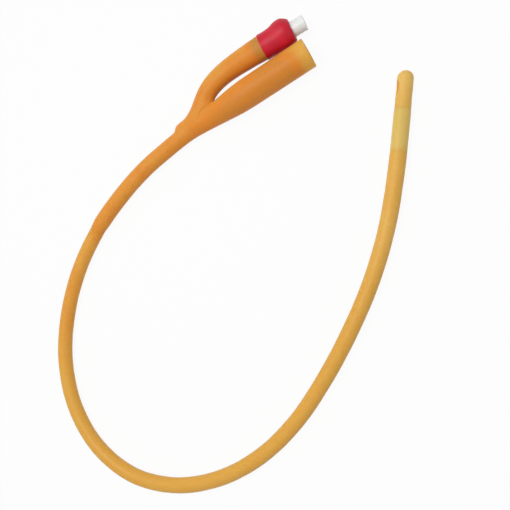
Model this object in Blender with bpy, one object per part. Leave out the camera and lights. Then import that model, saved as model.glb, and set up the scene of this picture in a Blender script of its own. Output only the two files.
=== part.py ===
"""An 18 Fr two-way Foley catheter, lying in one loose loop. Metres, +Z up.

The shaft and the drain funnel lie on z = 0. The drain funnel opens along +X, and the
origin is the middle of the floor area that the catheter covers.
"""

from bisect import bisect_right
from math import cos, pi, radians, sin, sqrt

import bmesh
import bpy
from mathutils import Vector

# Widths of the latex body. The tip is a little slimmer than the shaft, and the root, which
# runs into the Y junction, a little thicker.
SHAFT_DIAMETER = 0.0060
TIP_REDUCTION = 0.0003
ROOT_THICKENING = 0.0006

# The two lumens lie side by side, and the drain lumen takes the room that these leave
INFLATION_LUMEN_DIAMETER = 0.0007
LUMEN_PARTITION = 0.00033
LUMEN_WALL = 0.00043

# Distances back from the rounded tip, along the shaft
TIP_THICKNESS = 0.0026
TIP_SECTION_LENGTH = 0.0133
FIRST_EYE_STATION = 0.0063
SECOND_EYE_STATION = 0.0096
EYE_LENGTH = 0.0048
EYE_WIDTH = 0.0024
EYE_RISE = radians(22)

# The balloon sleeve, flush with the shaft over a neck behind the tip
BALLOON_LENGTH = 0.0149
BALLOON_WALL = 0.00025

# Distances back from the drain funnel's mouth, along the shaft
ROOT_LENGTH = 0.1110
CONE_START = 0.0560
CONE_END = 0.0260
BORE_CONE_START = 0.0520
BORE_CONE_END = 0.0240

# The stretch over which the shaft thickens, half of it on each side of the root's start
ROOT_TAPER = 0.0042

# The drain funnel
FUNNEL_DIAMETER = 0.0112
FUNNEL_WALL = 0.0014
FUNNEL_BORE_TAPER = 0.0006
MOUTH_CHAMFER = 0.00025

# The web that joins the arm to the funnel, along the arm from its shoulder to the crotch
WEB_LENGTH = 0.0208
WEB_START_SHARE = 0.97
WEB_END_SHARE = 0.60

# The port at the end of the inflation arm
PORT_SETBACK = 0.0139
PORT_TOE_IN = radians(3.5)
CUFF_CLEARANCE = 0.0005
NECK_LENGTH = 0.0085
NECK_WALL = 0.0008
SOCKET_SUMP = 0.0004

# The coloured cuff over the arm's neck
CUFF_WALL = 0.0006
CUFF_END_WALL = 0.0025
CUFF_DOME_LENGTH = 0.0032
CUFF_SWELLING = 0.0009
CUFF_SWELLING_START = 0.0042
CUFF_SWELLING_PEAK = 0.0084

# The valve housing, pushed into the arm's socket up to its flange
CHAMBER_DIAMETER = 0.0042
TAIL_WALL = 0.0006
TAIL_LENGTH = 0.0088
TAIL_LIP = 0.0005
TAIL_LIP_THICKNESS = 0.0006
BARB_DEPTH = 0.0003
BARB_COUNT = 3
FLANGE_THICKNESS = 0.0010
WEB_STANDOFF = 0.0005
THROAT_WEB_THICKNESS = 0.0010
THROAT_CLEARANCE = 0.0004
LUER_MOUTH_DIAMETER = 0.0043
LUER_DEPTH = 0.0075
LUER_TAPER = 0.06
HUB_WALL = 0.00065
HUB_DRAFT = 0.00015
HUB_CHAMFER = 0.00015

# The moving stem with its seal, the spring behind it and the ring that holds the spring
STEM_TRAVEL = 0.0015
NOSE_DIAMETER = 0.0018
NOSE_STANDING = 0.0007
NOSE_SLOT_WIDTH = 0.0005
NOSE_SLOT_DEPTH = 0.0007
HEAD_THICKNESS = 0.0010
STEM_TAIL_DIAMETER = 0.0012
SEAL_THICKNESS = 0.0006
SPRING_WIRE = 0.00035
SPRING_COILS = 5
RETAINER_THICKNESS = 0.0010

# Clearances: between pieces that touch, and round a piece that slides
SEATED_GAP = 0.0003
SLIDING_GAP = 0.00035

# Facets
SHAFT_SIDES = 26
LUMEN_SIDES = 18
INFLATION_SIDES = 6
PORT_SIDES = 28
SMALL_SIDES = 16
WIRE_SIDES = 6
COIL_STEPS = 14
DOME_STEPS = 5
WEB_STEPS = 12
SHAFT_SPACING = 0.0065
CONE_SPACING = 0.0033
SHARP_ANGLE = radians(38)

# The middle of the drain funnel's mouth, seen from above
MOUTH = (0.0667, 0.0560)

# Where the shaft lies, from the tip round the loop to the funnel's mouth, seen from above
SHAFT_ROUTE = (
    (0.0923, 0.0317),
    (0.0843, 0.0191),
    (0.0733, 0.0024),
    (0.0614, -0.0136),
    (0.0476, -0.0282),
    (0.0323, -0.0410),
    (0.0159, -0.0525),
    (-0.0015, -0.0623),
    (-0.0204, -0.0687),
    (-0.0404, -0.0703),
    (-0.0600, -0.0662),
    (-0.0769, -0.0556),
    (-0.0876, -0.0389),
    (-0.0905, -0.0192),
    (-0.0859, 0.0003),
    (-0.0757, 0.0173),
    (-0.0619, 0.0316),
    (-0.0454, 0.0426),
    (-0.0269, 0.0503),
    (-0.0130, 0.0541),
    (-0.0016, 0.0558),
    (0.0100, 0.0569),
    (0.0220, 0.0566),
    (0.0345, 0.0561),
    (0.0464, 0.0560),
    MOUTH,
)

# The inflation arm, from inside the shaft to its port: the distance back from the mouth, and
# how far over it has come as a share of the port's offset from the funnel's axis
ARM_ROUTE = (
    (0.0607, 0.207),
    (0.0574, 0.232),
    (0.0534, 0.266),
    (0.0493, 0.402),
    (0.0457, 0.604),
    (0.0419, 0.822),
    (0.0382, 0.953),
    (0.0335, 1.033),
    (0.0280, 1.055),
    (0.0220, 1.037),
)

# The arm's last points lie on the port's own axis, this far from the cuff's edge
ARM_STRAIGHT = (-0.0030, 0.0020)


def smooth_step(share):
    share = min(max(share, 0.0), 1.0)
    return share * share * (3 - 2 * share)


def between(low, high, share):
    return low + (high - low) * share


class Route:
    """A smooth curve through points seen from above, measured by the distance along it."""

    SAMPLES = 40

    def __init__(self, points):
        points = [Vector(point) for point in points]
        before = points[0] * 2 - points[1]
        after = points[-1] * 2 - points[-2]
        points = [before, *points, after]
        self.dots = []
        for four in zip(points, points[1:], points[2:], points[3:]):
            self.dots += self.stretch(*four)
        self.dots.append(points[-2])
        self.along = [0.0]
        for one, two in zip(self.dots, self.dots[1:]):
            self.along.append(self.along[-1] + (two - one).length)
        self.length = self.along[-1]

    def stretch(self, before, start, end, after):
        """Points from start up to end on a centripetal Catmull-Rom curve."""
        knots = [0.0]
        for one, two in ((before, start), (start, end), (end, after)):
            knots.append(knots[-1] + sqrt((two - one).length))

        def mix(one, two, low, high, at):
            return one.lerp(two, (at - knots[low]) / (knots[high] - knots[low]))

        dots = []
        for step in range(self.SAMPLES):
            at = between(knots[1], knots[2], step / self.SAMPLES)
            first = mix(before, start, 0, 1, at)
            second = mix(start, end, 1, 2, at)
            third = mix(end, after, 2, 3, at)
            first = mix(first, second, 0, 2, at)
            second = mix(second, third, 1, 3, at)
            dots.append(mix(first, second, 1, 2, at))
        return dots

    def at(self, distance):
        """The point at this distance and the way left of it. Both ends run on straight."""
        index = bisect_right(self.along, distance) - 1
        index = min(max(index, 0), len(self.dots) - 2)
        forward = (self.dots[index + 1] - self.dots[index]).normalized()
        place = self.dots[index] + forward * (distance - self.along[index])
        return place, Vector((-forward.y, forward.x))


def new_material(name, colour, roughness, metallic=0.0):
    material = bpy.data.materials.new(name)
    material.use_nodes = True
    shader = material.node_tree.nodes["Principled BSDF"]
    shader.inputs["Base Color"].default_value = (*colour, 1.0)
    shader.inputs["Roughness"].default_value = roughness
    shader.inputs["Metallic"].default_value = metallic
    return material


def new_object(name, shape, material=None, parent=None):
    """An object from a bmesh, with its faces turned outwards."""
    bmesh.ops.recalc_face_normals(shape, faces=shape.faces)
    mesh = bpy.data.meshes.new(name)
    shape.to_mesh(mesh)
    shape.free()
    mesh.shade_smooth()
    mesh.set_sharp_from_angle(angle=SHARP_ANGLE)
    if material:
        mesh.materials.append(material)
    thing = bpy.data.objects.new(name, mesh)
    thing.parent = parent
    bpy.context.collection.objects.link(thing)
    return thing


def new_empty(name, location, parent=None):
    empty = bpy.data.objects.new(name, None)
    empty.location = location
    empty.parent = parent
    bpy.context.collection.objects.link(empty)
    return empty


def add_boolean(target, name, shape, operation, parent=None):
    """Joins a shape to an object or cuts it out. The shape stays as a hidden wire helper."""
    helper = new_object(name, shape, parent=parent)
    helper.hide_render = True
    helper.display_type = "WIRE"
    modifier = target.modifiers.new(name, "BOOLEAN")
    modifier.operation = operation
    modifier.solver = "EXACT"
    modifier.object = helper


def ring_angles(sides):
    return [2 * pi * (side + 0.5) / sides for side in range(sides)]


def upright_ring(place, height, left, radius, sides):
    """A ring of points about a middle seen from above, in the plane of left and up."""
    ring = []
    for angle in ring_angles(sides):
        spot = place + left * (radius * cos(angle))
        ring.append(Vector((spot.x, spot.y, height + radius * sin(angle))))
    return ring


def axis_rings(profile, sides, swelling=None):
    """Rings about X from (along, radius) pairs, where a radius of 0 is a point on the axis.
    Swelling adds to the radius at each place and angle, with angle 0 towards +Y."""
    rings = []
    for along, radius in profile:
        if radius == 0.0:
            rings.append([Vector((along, 0, 0))])
            continue
        ring = []
        for angle in ring_angles(sides):
            reach = radius + (swelling(along, angle) if swelling else 0.0)
            ring.append(Vector((along, reach * cos(angle), reach * sin(angle))))
        rings.append(ring)
    return rings


def skinned(rings, closed=False):
    """A bmesh with faces between rings of points. A ring of one point is a pole. A closed
    row of rings joins its last to its first, and an open one is capped at both ends."""
    shape = bmesh.new()
    loops = [[shape.verts.new(point) for point in ring] for ring in rings]
    pairs = list(zip(loops, loops[1:]))
    if closed:
        pairs.append((loops[-1], loops[0]))
    for one, two in pairs:
        sides = max(len(one), len(two))
        for side in range(sides):
            after = (side + 1) % sides
            if len(one) == 1:
                shape.faces.new((one[0], two[after], two[side]))
            elif len(two) == 1:
                shape.faces.new((one[side], one[after], two[0]))
            else:
                shape.faces.new((one[side], one[after], two[after], two[side]))
    if not closed:
        for loop in (loops[0], loops[-1]):
            if len(loop) > 1:
                shape.faces.new(loop)
    return shape


def spread(start, end, spacing):
    """Even distances from start up to end, with start and without end."""
    count = max(1, round((end - start) / spacing))
    return [between(start, end, step / count) for step in range(count)]


# Sizes that follow from the driving ones


def root_diameter():
    return SHAFT_DIAMETER + ROOT_THICKENING


def neck_radius():
    """The shaft under the balloon sleeve."""
    return SHAFT_DIAMETER / 2 - BALLOON_WALL - SEATED_GAP


def seat_end():
    return TIP_SECTION_LENGTH + BALLOON_LENGTH + 2 * SEATED_GAP


def drain_lumen_diameter():
    return 2 * (neck_radius() - LUMEN_WALL) - LUMEN_PARTITION - INFLATION_LUMEN_DIAMETER


def drain_lumen_offset():
    """How far right of the shaft's middle the drain lumen runs, seen towards the funnel."""
    return neck_radius() - LUMEN_WALL - drain_lumen_diameter() / 2


def inflation_lumen_offset():
    """How far left of the shaft's middle the inflation lumen runs."""
    return neck_radius() - LUMEN_WALL - INFLATION_LUMEN_DIAMETER / 2


def barb_diameter():
    return CHAMBER_DIAMETER + 2 * (TAIL_WALL + BARB_DEPTH)


def socket_diameter():
    return barb_diameter() + 2 * SEATED_GAP


def neck_diameter():
    """The arm's neck, and the housing's flange that stands on its end."""
    return socket_diameter() + 2 * NECK_WALL


def cuff_diameter():
    return neck_diameter() + 2 * (SEATED_GAP + CUFF_WALL)


def arm_end_diameter():
    return cuff_diameter() - 2 * SEATED_GAP


def hub_end_diameter():
    return LUER_MOUTH_DIAMETER + 2 * HUB_WALL


def hub_base_diameter():
    return hub_end_diameter() + 2 * HUB_DRAFT


# Places along the port's axis, outwards from the cuff's edge


def flange_start():
    return NECK_LENGTH + SEATED_GAP


def flange_end():
    return flange_start() + FLANGE_THICKNESS


def cuff_end():
    return flange_end() + SEATED_GAP + CUFF_END_WALL


def web_top():
    return flange_end() + WEB_STANDOFF


def web_bottom():
    return web_top() - THROAT_WEB_THICKNESS


def hub_end():
    return web_top() + LUER_DEPTH


def head_top():
    return web_bottom() - 2 * SEATED_GAP - SEAL_THICKNESS


def tail_end():
    return flange_start() - TAIL_LENGTH


def retainer_start():
    return tail_end() + TAIL_LIP_THICKNESS + SEATED_GAP


def retainer_end():
    return retainer_start() + RETAINER_THICKNESS


# Places seen from above, and heights


def port_offset():
    """From the funnel's axis to the port's, at the cuff's edge. The port leans in, and the
    cuff's far end just clears the funnel."""
    beside = FUNNEL_DIAMETER / 2 + CUFF_CLEARANCE + cuff_diameter() / 2
    return beside + cuff_end() * sin(PORT_TOE_IN)


def port_height():
    """The port lies level, as high as the funnel or the cuff holds it."""
    return max(FUNNEL_DIAMETER, cuff_diameter() + CUFF_SWELLING) / 2


def port_point(along):
    start = Vector((MOUTH[0] - PORT_SETBACK, MOUTH[1] + port_offset()))
    return start + Vector((cos(PORT_TOE_IN), -sin(PORT_TOE_IN))) * along


def arm_route():
    points = [(MOUTH[0] - back, MOUTH[1] + share * port_offset()) for back, share in ARM_ROUTE]
    points += [port_point(along) for along in (*ARM_STRAIGHT, NECK_LENGTH)]
    return Route(points)


def root_start(shaft):
    """Where the shaft starts to thicken into the root."""
    return shaft.length - ROOT_LENGTH - ROOT_TAPER / 2


def shaft_radius(shaft, distance):
    """The outside of the shaft, its root and the drain funnel. All of it lies on the table,
    so this is also the height of its middle."""
    from_mouth = shaft.length - distance
    thickened = smooth_step((distance - root_start(shaft)) / ROOT_TAPER)
    width = between(SHAFT_DIAMETER, root_diameter(), thickened)
    widened = smooth_step((CONE_START - from_mouth) / (CONE_START - CONE_END))
    return between(width, FUNNEL_DIAMETER, widened) / 2


def arm_share(arm, distance):
    """How much of the arm lies behind this distance, up to the cuff's edge."""
    return min(distance / (arm.length - NECK_LENGTH), 1.0)


def arm_height(shaft, arm, distance):
    low = shaft_radius(shaft, shaft.length - ARM_ROUTE[0][0])
    return between(low, port_height(), smooth_step(arm_share(arm, distance)))


def arm_radius(arm, distance):
    growth = arm_share(arm, distance) ** 1.5
    return between(root_diameter(), arm_end_diameter(), growth) / 2


def drain_bore_radius(shaft, distance):
    from_mouth = shaft.length - distance
    mouth = FUNNEL_DIAMETER / 2 - FUNNEL_WALL
    throat = mouth - FUNNEL_BORE_TAPER / 2
    if from_mouth < BORE_CONE_END:
        return between(mouth, throat, from_mouth / BORE_CONE_END)
    share = smooth_step((BORE_CONE_START - from_mouth) / (BORE_CONE_START - BORE_CONE_END))
    return between(drain_lumen_diameter() / 2, throat, share)


def drain_bore_offset(shaft, distance):
    """The drain lumen is centred in the tip and in the funnel, and lies to the right in
    between, to leave room for the inflation lumen."""
    behind_tip = smooth_step(2 * distance / TIP_SECTION_LENGTH - 1)
    from_mouth = shaft.length - distance
    before_funnel = smooth_step((from_mouth - BORE_CONE_END) / (BORE_CONE_START - BORE_CONE_END))
    return -drain_lumen_offset() * behind_tip * before_funnel


# The latex body


def shaft_form(shaft):
    """The outside, from the tip's pole through the balloon's neck and the thicker root to
    the funnel's mouth."""
    tip = (SHAFT_DIAMETER - TIP_REDUCTION) / 2
    turns = [pi / 2 * step / DOME_STEPS for step in range(DOME_STEPS)]
    profile = [(tip * (1 - cos(turn)), tip * sin(turn)) for turn in turns]
    plain = [
        (tip, TIP_SECTION_LENGTH, tip),
        (TIP_SECTION_LENGTH, seat_end(), neck_radius()),
        (seat_end(), root_start(shaft), SHAFT_DIAMETER / 2),
    ]
    for start, end, radius in plain:
        profile += [(at, radius) for at in (*spread(start, end, SHAFT_SPACING), end)]
    cone_start = shaft.length - CONE_START
    cone_end = shaft.length - CONE_END
    lip = shaft.length - MOUTH_CHAMFER
    root = root_start(shaft) + ROOT_TAPER
    stations = spread(root_start(shaft), root, ROOT_TAPER / 4)[1:]
    stations += spread(root, cone_start, SHAFT_SPACING)
    stations += spread(cone_start, cone_end, CONE_SPACING)
    stations += [*spread(cone_end, lip, SHAFT_SPACING), lip]
    profile += [(at, shaft_radius(shaft, at)) for at in stations]
    profile.append((shaft.length, FUNNEL_DIAMETER / 2 - MOUTH_CHAMFER))
    rings = []
    for distance, radius in profile:
        place, left = shaft.at(distance)
        height = shaft_radius(shaft, distance)
        if radius == 0.0:
            rings.append([Vector((place.x, place.y, height))])
        else:
            rings.append(upright_ring(place, height, left, radius, SHAFT_SIDES))
    return skinned(rings)


def arm_form(shaft):
    """The outside of the inflation arm, from a rounded shoulder to the neck for the cuff."""
    arm = arm_route()
    start = root_diameter() / 2
    edge = arm.length - NECK_LENGTH - SEATED_GAP
    neck = neck_diameter() / 2
    turns = [pi / 2 * step / DOME_STEPS for step in range(1, DOME_STEPS + 1)]
    profile = [(start * (1 - cos(turn)), start * sin(turn)) for turn in turns]
    stations = [*spread(start, edge, CONE_SPACING)[1:], edge]
    profile += [(at, arm_radius(arm, at)) for at in stations]
    profile += [(edge, neck), (arm.length, neck)]
    rings = []
    for distance, radius in profile:
        place, left = arm.at(distance)
        rings.append(upright_ring(place, arm_height(shaft, arm, distance), left, radius, SHAFT_SIDES))
    return skinned(rings)


def web_form(shaft):
    """The web in the crotch of the Y. Each section is drawn round the shaft's circle and the
    arm's. It gets thinner towards the crotch and has a rounded edge there."""
    arm = arm_route()
    rings = []
    for step in range(WEB_STEPS):
        turn = pi / 2 * step / WEB_STEPS
        along = root_diameter() / 2 + WEB_LENGTH * sin(turn)
        share = between(WEB_START_SHARE, WEB_END_SHARE, sin(turn)) * cos(turn)
        outer, _ = arm.at(along)
        distance = shaft.length - (MOUTH[0] - outer.x)
        inner, _ = shaft.at(distance)
        across = (outer - inner).normalized()
        near = (inner, shaft_radius(shaft, distance), shaft_radius(shaft, distance))
        far = (outer, arm_height(shaft, arm, along), arm_radius(arm, along))
        ring = []
        for angle in ring_angles(SHAFT_SIDES):
            place, height, radius = far if cos(angle) > 0 else near
            spot = place + across * (share * radius * cos(angle))
            ring.append(Vector((spot.x, spot.y, height + share * radius * sin(angle))))
        rings.append(ring)
    return skinned(rings)


def drain_bore(shaft):
    """The drain lumen, from its rounded end in the tip out through the funnel's mouth."""
    lumen = drain_lumen_diameter() / 2
    cone_start = shaft.length - BORE_CONE_START
    cone_end = shaft.length - BORE_CONE_END
    stations = spread(TIP_THICKNESS + lumen / 2, cone_start, SHAFT_SPACING)
    stations += spread(cone_start, cone_end, CONE_SPACING)
    stations += [cone_end, shaft.length, shaft.length + FUNNEL_WALL]
    profile = [(TIP_THICKNESS, lumen / 2)]
    profile += [(at, drain_bore_radius(shaft, at)) for at in stations]
    rings = []
    for distance, radius in profile:
        place, left = shaft.at(distance)
        place = place + left * drain_bore_offset(shaft, distance)
        rings.append(upright_ring(place, shaft_radius(shaft, distance), left, radius, LUMEN_SIDES))
    return skinned(rings)


def balloon_middle():
    return (TIP_SECTION_LENGTH + seat_end()) / 2


def socket_floor(arm):
    """Where the socket's conical floor starts, on the arm's route."""
    return arm.length - NECK_LENGTH + tail_end() - SOCKET_SUMP - socket_diameter() / 2


def inflation_bore(shaft):
    """The inflation lumen, from under the balloon along the shaft and the arm to the socket."""
    arm = arm_route()
    radius = INFLATION_LUMEN_DIAMETER / 2
    start = balloon_middle() - INFLATION_LUMEN_DIAMETER
    end = shaft.length - ARM_ROUTE[0][0] - root_diameter() / 2
    rings = []
    for distance in spread(start, end, SHAFT_SPACING):
        place, left = shaft.at(distance)
        place = place + left * inflation_lumen_offset()
        rings.append(upright_ring(place, shaft_radius(shaft, distance), left, radius, INFLATION_SIDES))
    floor = socket_floor(arm)
    for distance in [*spread(root_diameter() / 2, floor, CONE_SPACING), floor + radius]:
        place, left = arm.at(distance)
        rings.append(upright_ring(place, arm_height(shaft, arm, distance), left, radius, INFLATION_SIDES))
    return skinned(rings)


def socket_bore(shaft):
    """The socket for the valve housing, with a conical floor that the lumen opens into."""
    arm = arm_route()
    floor = socket_floor(arm)
    radius = socket_diameter() / 2
    start = INFLATION_LUMEN_DIAMETER
    profile = [(floor + start, start), (floor + radius, radius)]
    profile += [(arm.length - NECK_LENGTH, radius), (arm.length + SEATED_GAP, radius)]
    rings = []
    for distance, width in profile:
        place, left = arm.at(distance)
        rings.append(upright_ring(place, arm_height(shaft, arm, distance), left, width, SHAFT_SIDES))
    return skinned(rings)


def side_hole(shaft, distance, angle, length, width, start):
    """An oval prism out through the shaft's skin that starts this far from the shaft's
    middle. It points at an angle round the shaft, from its left over the top."""
    place, left = shaft.at(distance)
    middle = Vector((place.x, place.y, SHAFT_DIAMETER / 2))
    forward = Vector((left.y, -left.x, 0))
    side = Vector((left.x, left.y, 0))
    up = Vector((0, 0, 1))
    outward = side * cos(angle) + up * sin(angle)
    across = up * cos(angle) - side * sin(angle)
    rings = []
    for out in (start, SHAFT_DIAMETER):
        ring = []
        for turn in ring_angles(SMALL_SIDES):
            oval = forward * (length / 2 * cos(turn)) + across * (width / 2 * sin(turn))
            ring.append(middle + outward * out + oval)
        rings.append(ring)
    return skinned(rings)


def make_body(shaft):
    """One latex solid: tip, shaft, Y junction, drain funnel and inflation arm, with its two
    lumens, the two eyes, the port under the balloon and the valve's socket."""
    latex = new_material("golden_latex", (0.66, 0.36, 0.10), 0.42)
    body = new_object("catheter_body", shaft_form(shaft), latex)
    port = INFLATION_LUMEN_DIAMETER
    port_start = inflation_lumen_offset()
    add_boolean(body, "arm_form", arm_form(shaft), "UNION")
    add_boolean(body, "web_form", web_form(shaft), "UNION")
    cutters = {
        "drain_bore": drain_bore(shaft),
        "inflation_bore": inflation_bore(shaft),
        "socket_bore": socket_bore(shaft),
        "first_eye": side_hole(shaft, FIRST_EYE_STATION, pi - EYE_RISE, EYE_LENGTH, EYE_WIDTH, 0.0),
        "second_eye": side_hole(shaft, SECOND_EYE_STATION, -EYE_RISE, EYE_LENGTH, EYE_WIDTH, 0.0),
        "balloon_port": side_hole(shaft, balloon_middle(), 0.0, port, port, port_start),
    }
    for name, shape in cutters.items():
        add_boolean(body, name, shape, "DIFFERENCE")


def make_balloon(shaft):
    """A thin latex sleeve, flush with the shaft when it is empty."""
    pale = new_material("pale_latex", (0.72, 0.50, 0.20), 0.38)
    outer = SHAFT_DIAMETER / 2
    start = TIP_SECTION_LENGTH + SEATED_GAP
    end = start + BALLOON_LENGTH
    stations = [*spread(start, end, SHAFT_SPACING), end]
    profile = [(at, outer) for at in stations]
    profile += [(at, outer - BALLOON_WALL) for at in reversed(stations)]
    rings = []
    for distance, radius in profile:
        place, left = shaft.at(distance)
        rings.append(upright_ring(place, SHAFT_DIAMETER / 2, left, radius, SHAFT_SIDES))
    new_object("balloon", skinned(rings, closed=True), pale)


# The port's pieces, turned about its axis


def cuff_swelling(along, angle):
    """The cuff swells near its end, most on the side away from the funnel."""
    away = (1 + cos(angle)) / 2
    rise = smooth_step((along - CUFF_SWELLING_START) / (CUFF_SWELLING_PEAK - CUFF_SWELLING_START))
    fall = smooth_step((cuff_end() - along) / CUFF_DOME_LENGTH)
    return CUFF_SWELLING * away * rise * fall


def make_cuff(port):
    """The red rubber cuff over the neck and the flange, closed round the hub by a dome."""
    rubber = new_material("red_rubber", (0.58, 0.02, 0.05), 0.40)
    outer = cuff_diameter() / 2
    bore = outer - CUFF_WALL
    hole = hub_base_diameter() / 2 + SEATED_GAP
    crown = hole + 2 * SEATED_GAP
    dome_start = cuff_end() - CUFF_DOME_LENGTH
    outside = [(0.0, outer - SEATED_GAP), (SEATED_GAP, outer)]
    outside += [(at, outer) for at in spread(CUFF_SWELLING_START / 2, dome_start, SEATED_GAP * 4)]
    for step in range(DOME_STEPS + 2):
        turn = pi / 2 * step / (DOME_STEPS + 1)
        outside.append((between(dome_start, cuff_end(), sin(turn)), between(crown, outer, cos(turn))))
    shoulder = flange_end() + SEATED_GAP
    inside = [(cuff_end(), hole), (shoulder, hole), (shoulder, bore), (0.0, bore)]
    rings = axis_rings(outside, PORT_SIDES, cuff_swelling) + axis_rings(inside, PORT_SIDES)
    new_object("colour_cuff", skinned(rings, closed=True), rubber, port)


def make_housing(port):
    """The white valve housing: a barbed tail round the valve's chamber, a flange, a web with
    the throat that the seal closes, and a hub with a female luer bore."""
    plastic = new_material("white_plastic", (0.80, 0.82, 0.80), 0.30)
    barb = barb_diameter() / 2
    root = barb - BARB_DEPTH
    flange = neck_diameter() / 2
    rim = hub_end_diameter() / 2
    luer = LUER_MOUTH_DIAMETER / 2
    throat = NOSE_DIAMETER / 2 + THROAT_CLEARANCE
    chamber = CHAMBER_DIAMETER / 2
    lip_top = tail_end() + TAIL_LIP_THICKNESS
    profile = [(tail_end(), root)]
    for count in range(BARB_COUNT):
        crest = tail_end() + TAIL_LENGTH * (count + 1) / (BARB_COUNT + 1)
        profile += [(crest, barb), (crest + BARB_DEPTH / 2, root)]
    profile += [
        (flange_start(), root),
        (flange_start(), flange),
        (flange_end(), flange),
        (flange_end(), rim + HUB_DRAFT),
        (hub_end() - HUB_CHAMFER, rim),
        (hub_end(), rim - HUB_CHAMFER),
        (hub_end(), luer),
        (web_top(), luer - LUER_TAPER * LUER_DEPTH / 2),
        (web_top(), throat),
        (web_bottom(), throat),
        (web_bottom(), chamber),
        (lip_top, chamber),
        (lip_top, chamber - TAIL_LIP),
        (tail_end(), chamber - TAIL_LIP),
    ]
    new_object("valve_housing", skinned(axis_rings(profile, PORT_SIDES), closed=True), plastic, port)


def nose_slot(end, size_y, size_z):
    shape = bmesh.new()
    bmesh.ops.create_cube(shape, size=1.0)
    bmesh.ops.scale(shape, vec=(2 * NOSE_SLOT_DEPTH, size_y, size_z), verts=shape.verts)
    bmesh.ops.translate(shape, vec=(end, 0, 0), verts=shape.verts)
    return shape


def make_stem(slide):
    """The stem that a syringe's nose pushes in: a cross-slotted nose in the luer bore, a head
    in the chamber and a tail inside the spring. Its origin is the top of the head."""
    plastic = new_material("natural_plastic", (0.72, 0.76, 0.76), 0.35)
    nose = NOSE_DIAMETER / 2
    head = CHAMBER_DIAMETER / 2 - SLIDING_GAP
    tail = STEM_TAIL_DIAMETER / 2
    nose_end = web_top() + STEM_TRAVEL + NOSE_STANDING - head_top()
    tail_reach = retainer_start() - head_top()
    profile = [
        (tail_reach, 0.0),
        (tail_reach, tail),
        (-HEAD_THICKNESS, tail),
        (-HEAD_THICKNESS, head),
        (0.0, head),
        (0.0, nose),
        (nose_end, nose),
        (nose_end, 0.0),
    ]
    stem = new_object("valve_stem", skinned(axis_rings(profile, SMALL_SIDES)), plastic, slide)
    across = 2 * NOSE_DIAMETER
    level = nose_slot(nose_end, across, NOSE_SLOT_WIDTH)
    upright = nose_slot(nose_end, NOSE_SLOT_WIDTH, across)
    add_boolean(stem, "level_slot", level, "DIFFERENCE", slide)
    add_boolean(stem, "upright_slot", upright, "DIFFERENCE", slide)


def make_washer(name, start, thickness, inner, outer, material, parent):
    end = start + thickness
    profile = [(start, outer), (end, outer), (end, inner), (start, inner)]
    new_object(name, skinned(axis_rings(profile, SMALL_SIDES), closed=True), material, parent)


def make_seal(slide):
    """The soft ring round the stem, pressed against the web when the valve is shut."""
    rubber = new_material("seal_rubber", (0.05, 0.05, 0.05), 0.60)
    inner = NOSE_DIAMETER / 2 + SEATED_GAP
    outer = CHAMBER_DIAMETER / 2 - SLIDING_GAP
    make_washer("valve_seal", SEATED_GAP, SEAL_THICKNESS, inner, outer, rubber, slide)


def make_retainer(port):
    """The ring snapped in behind the spring, with a hole that the stem's tail slides in."""
    plastic = new_material("retainer_plastic", (0.78, 0.80, 0.80), 0.35)
    inner = STEM_TAIL_DIAMETER / 2 + SLIDING_GAP
    outer = CHAMBER_DIAMETER / 2 - SEATED_GAP
    make_washer("valve_retainer", retainer_start(), RETAINER_THICKNESS, inner, outer, plastic, port)


def make_spring(port):
    """A steel spring between the retainer and the stem's head."""
    steel = new_material("spring_steel", (0.60, 0.60, 0.62), 0.25, 1.0)
    wire = SPRING_WIRE / 2
    radius = CHAMBER_DIAMETER / 2 - SLIDING_GAP - wire
    start = retainer_end() + SEATED_GAP + wire
    end = head_top() - HEAD_THICKNESS - SEATED_GAP - wire
    steps = SPRING_COILS * COIL_STEPS
    rings = []
    for step in range(steps + 1):
        turn = 2 * pi * step / COIL_STEPS
        outward = Vector((0, cos(turn), sin(turn)))
        middle = Vector((between(start, end, step / steps), 0, 0)) + outward * radius
        ring = []
        for angle in ring_angles(WIRE_SIDES):
            ring.append(middle + outward * (wire * cos(angle)) + Vector((wire * sin(angle), 0, 0)))
        rings.append(ring)
    new_object("valve_spring", skinned(rings), steel, port)


def main():
    for thing in list(bpy.data.objects):
        bpy.data.objects.remove(thing)
    shaft = Route(SHAFT_ROUTE)
    make_body(shaft)
    make_balloon(shaft)
    corner = port_point(0.0)
    port = new_empty("inflation_port", (corner.x, corner.y, port_height()))
    port.rotation_euler.z = -PORT_TOE_IN
    make_cuff(port)
    make_housing(port)
    make_spring(port)
    make_retainer(port)
    slide = new_empty("valve_slide", (head_top(), 0, 0), port)
    make_stem(slide)
    make_seal(slide)


main()
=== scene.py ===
"""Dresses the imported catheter: smooth latex, dipped cuff, moulded valve, plain studio."""

from bisect import bisect_right
from math import cos, pi, radians, sin, sqrt

import bmesh
import bpy
import numpy as np
from mathutils import Euler, Matrix, Vector


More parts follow.
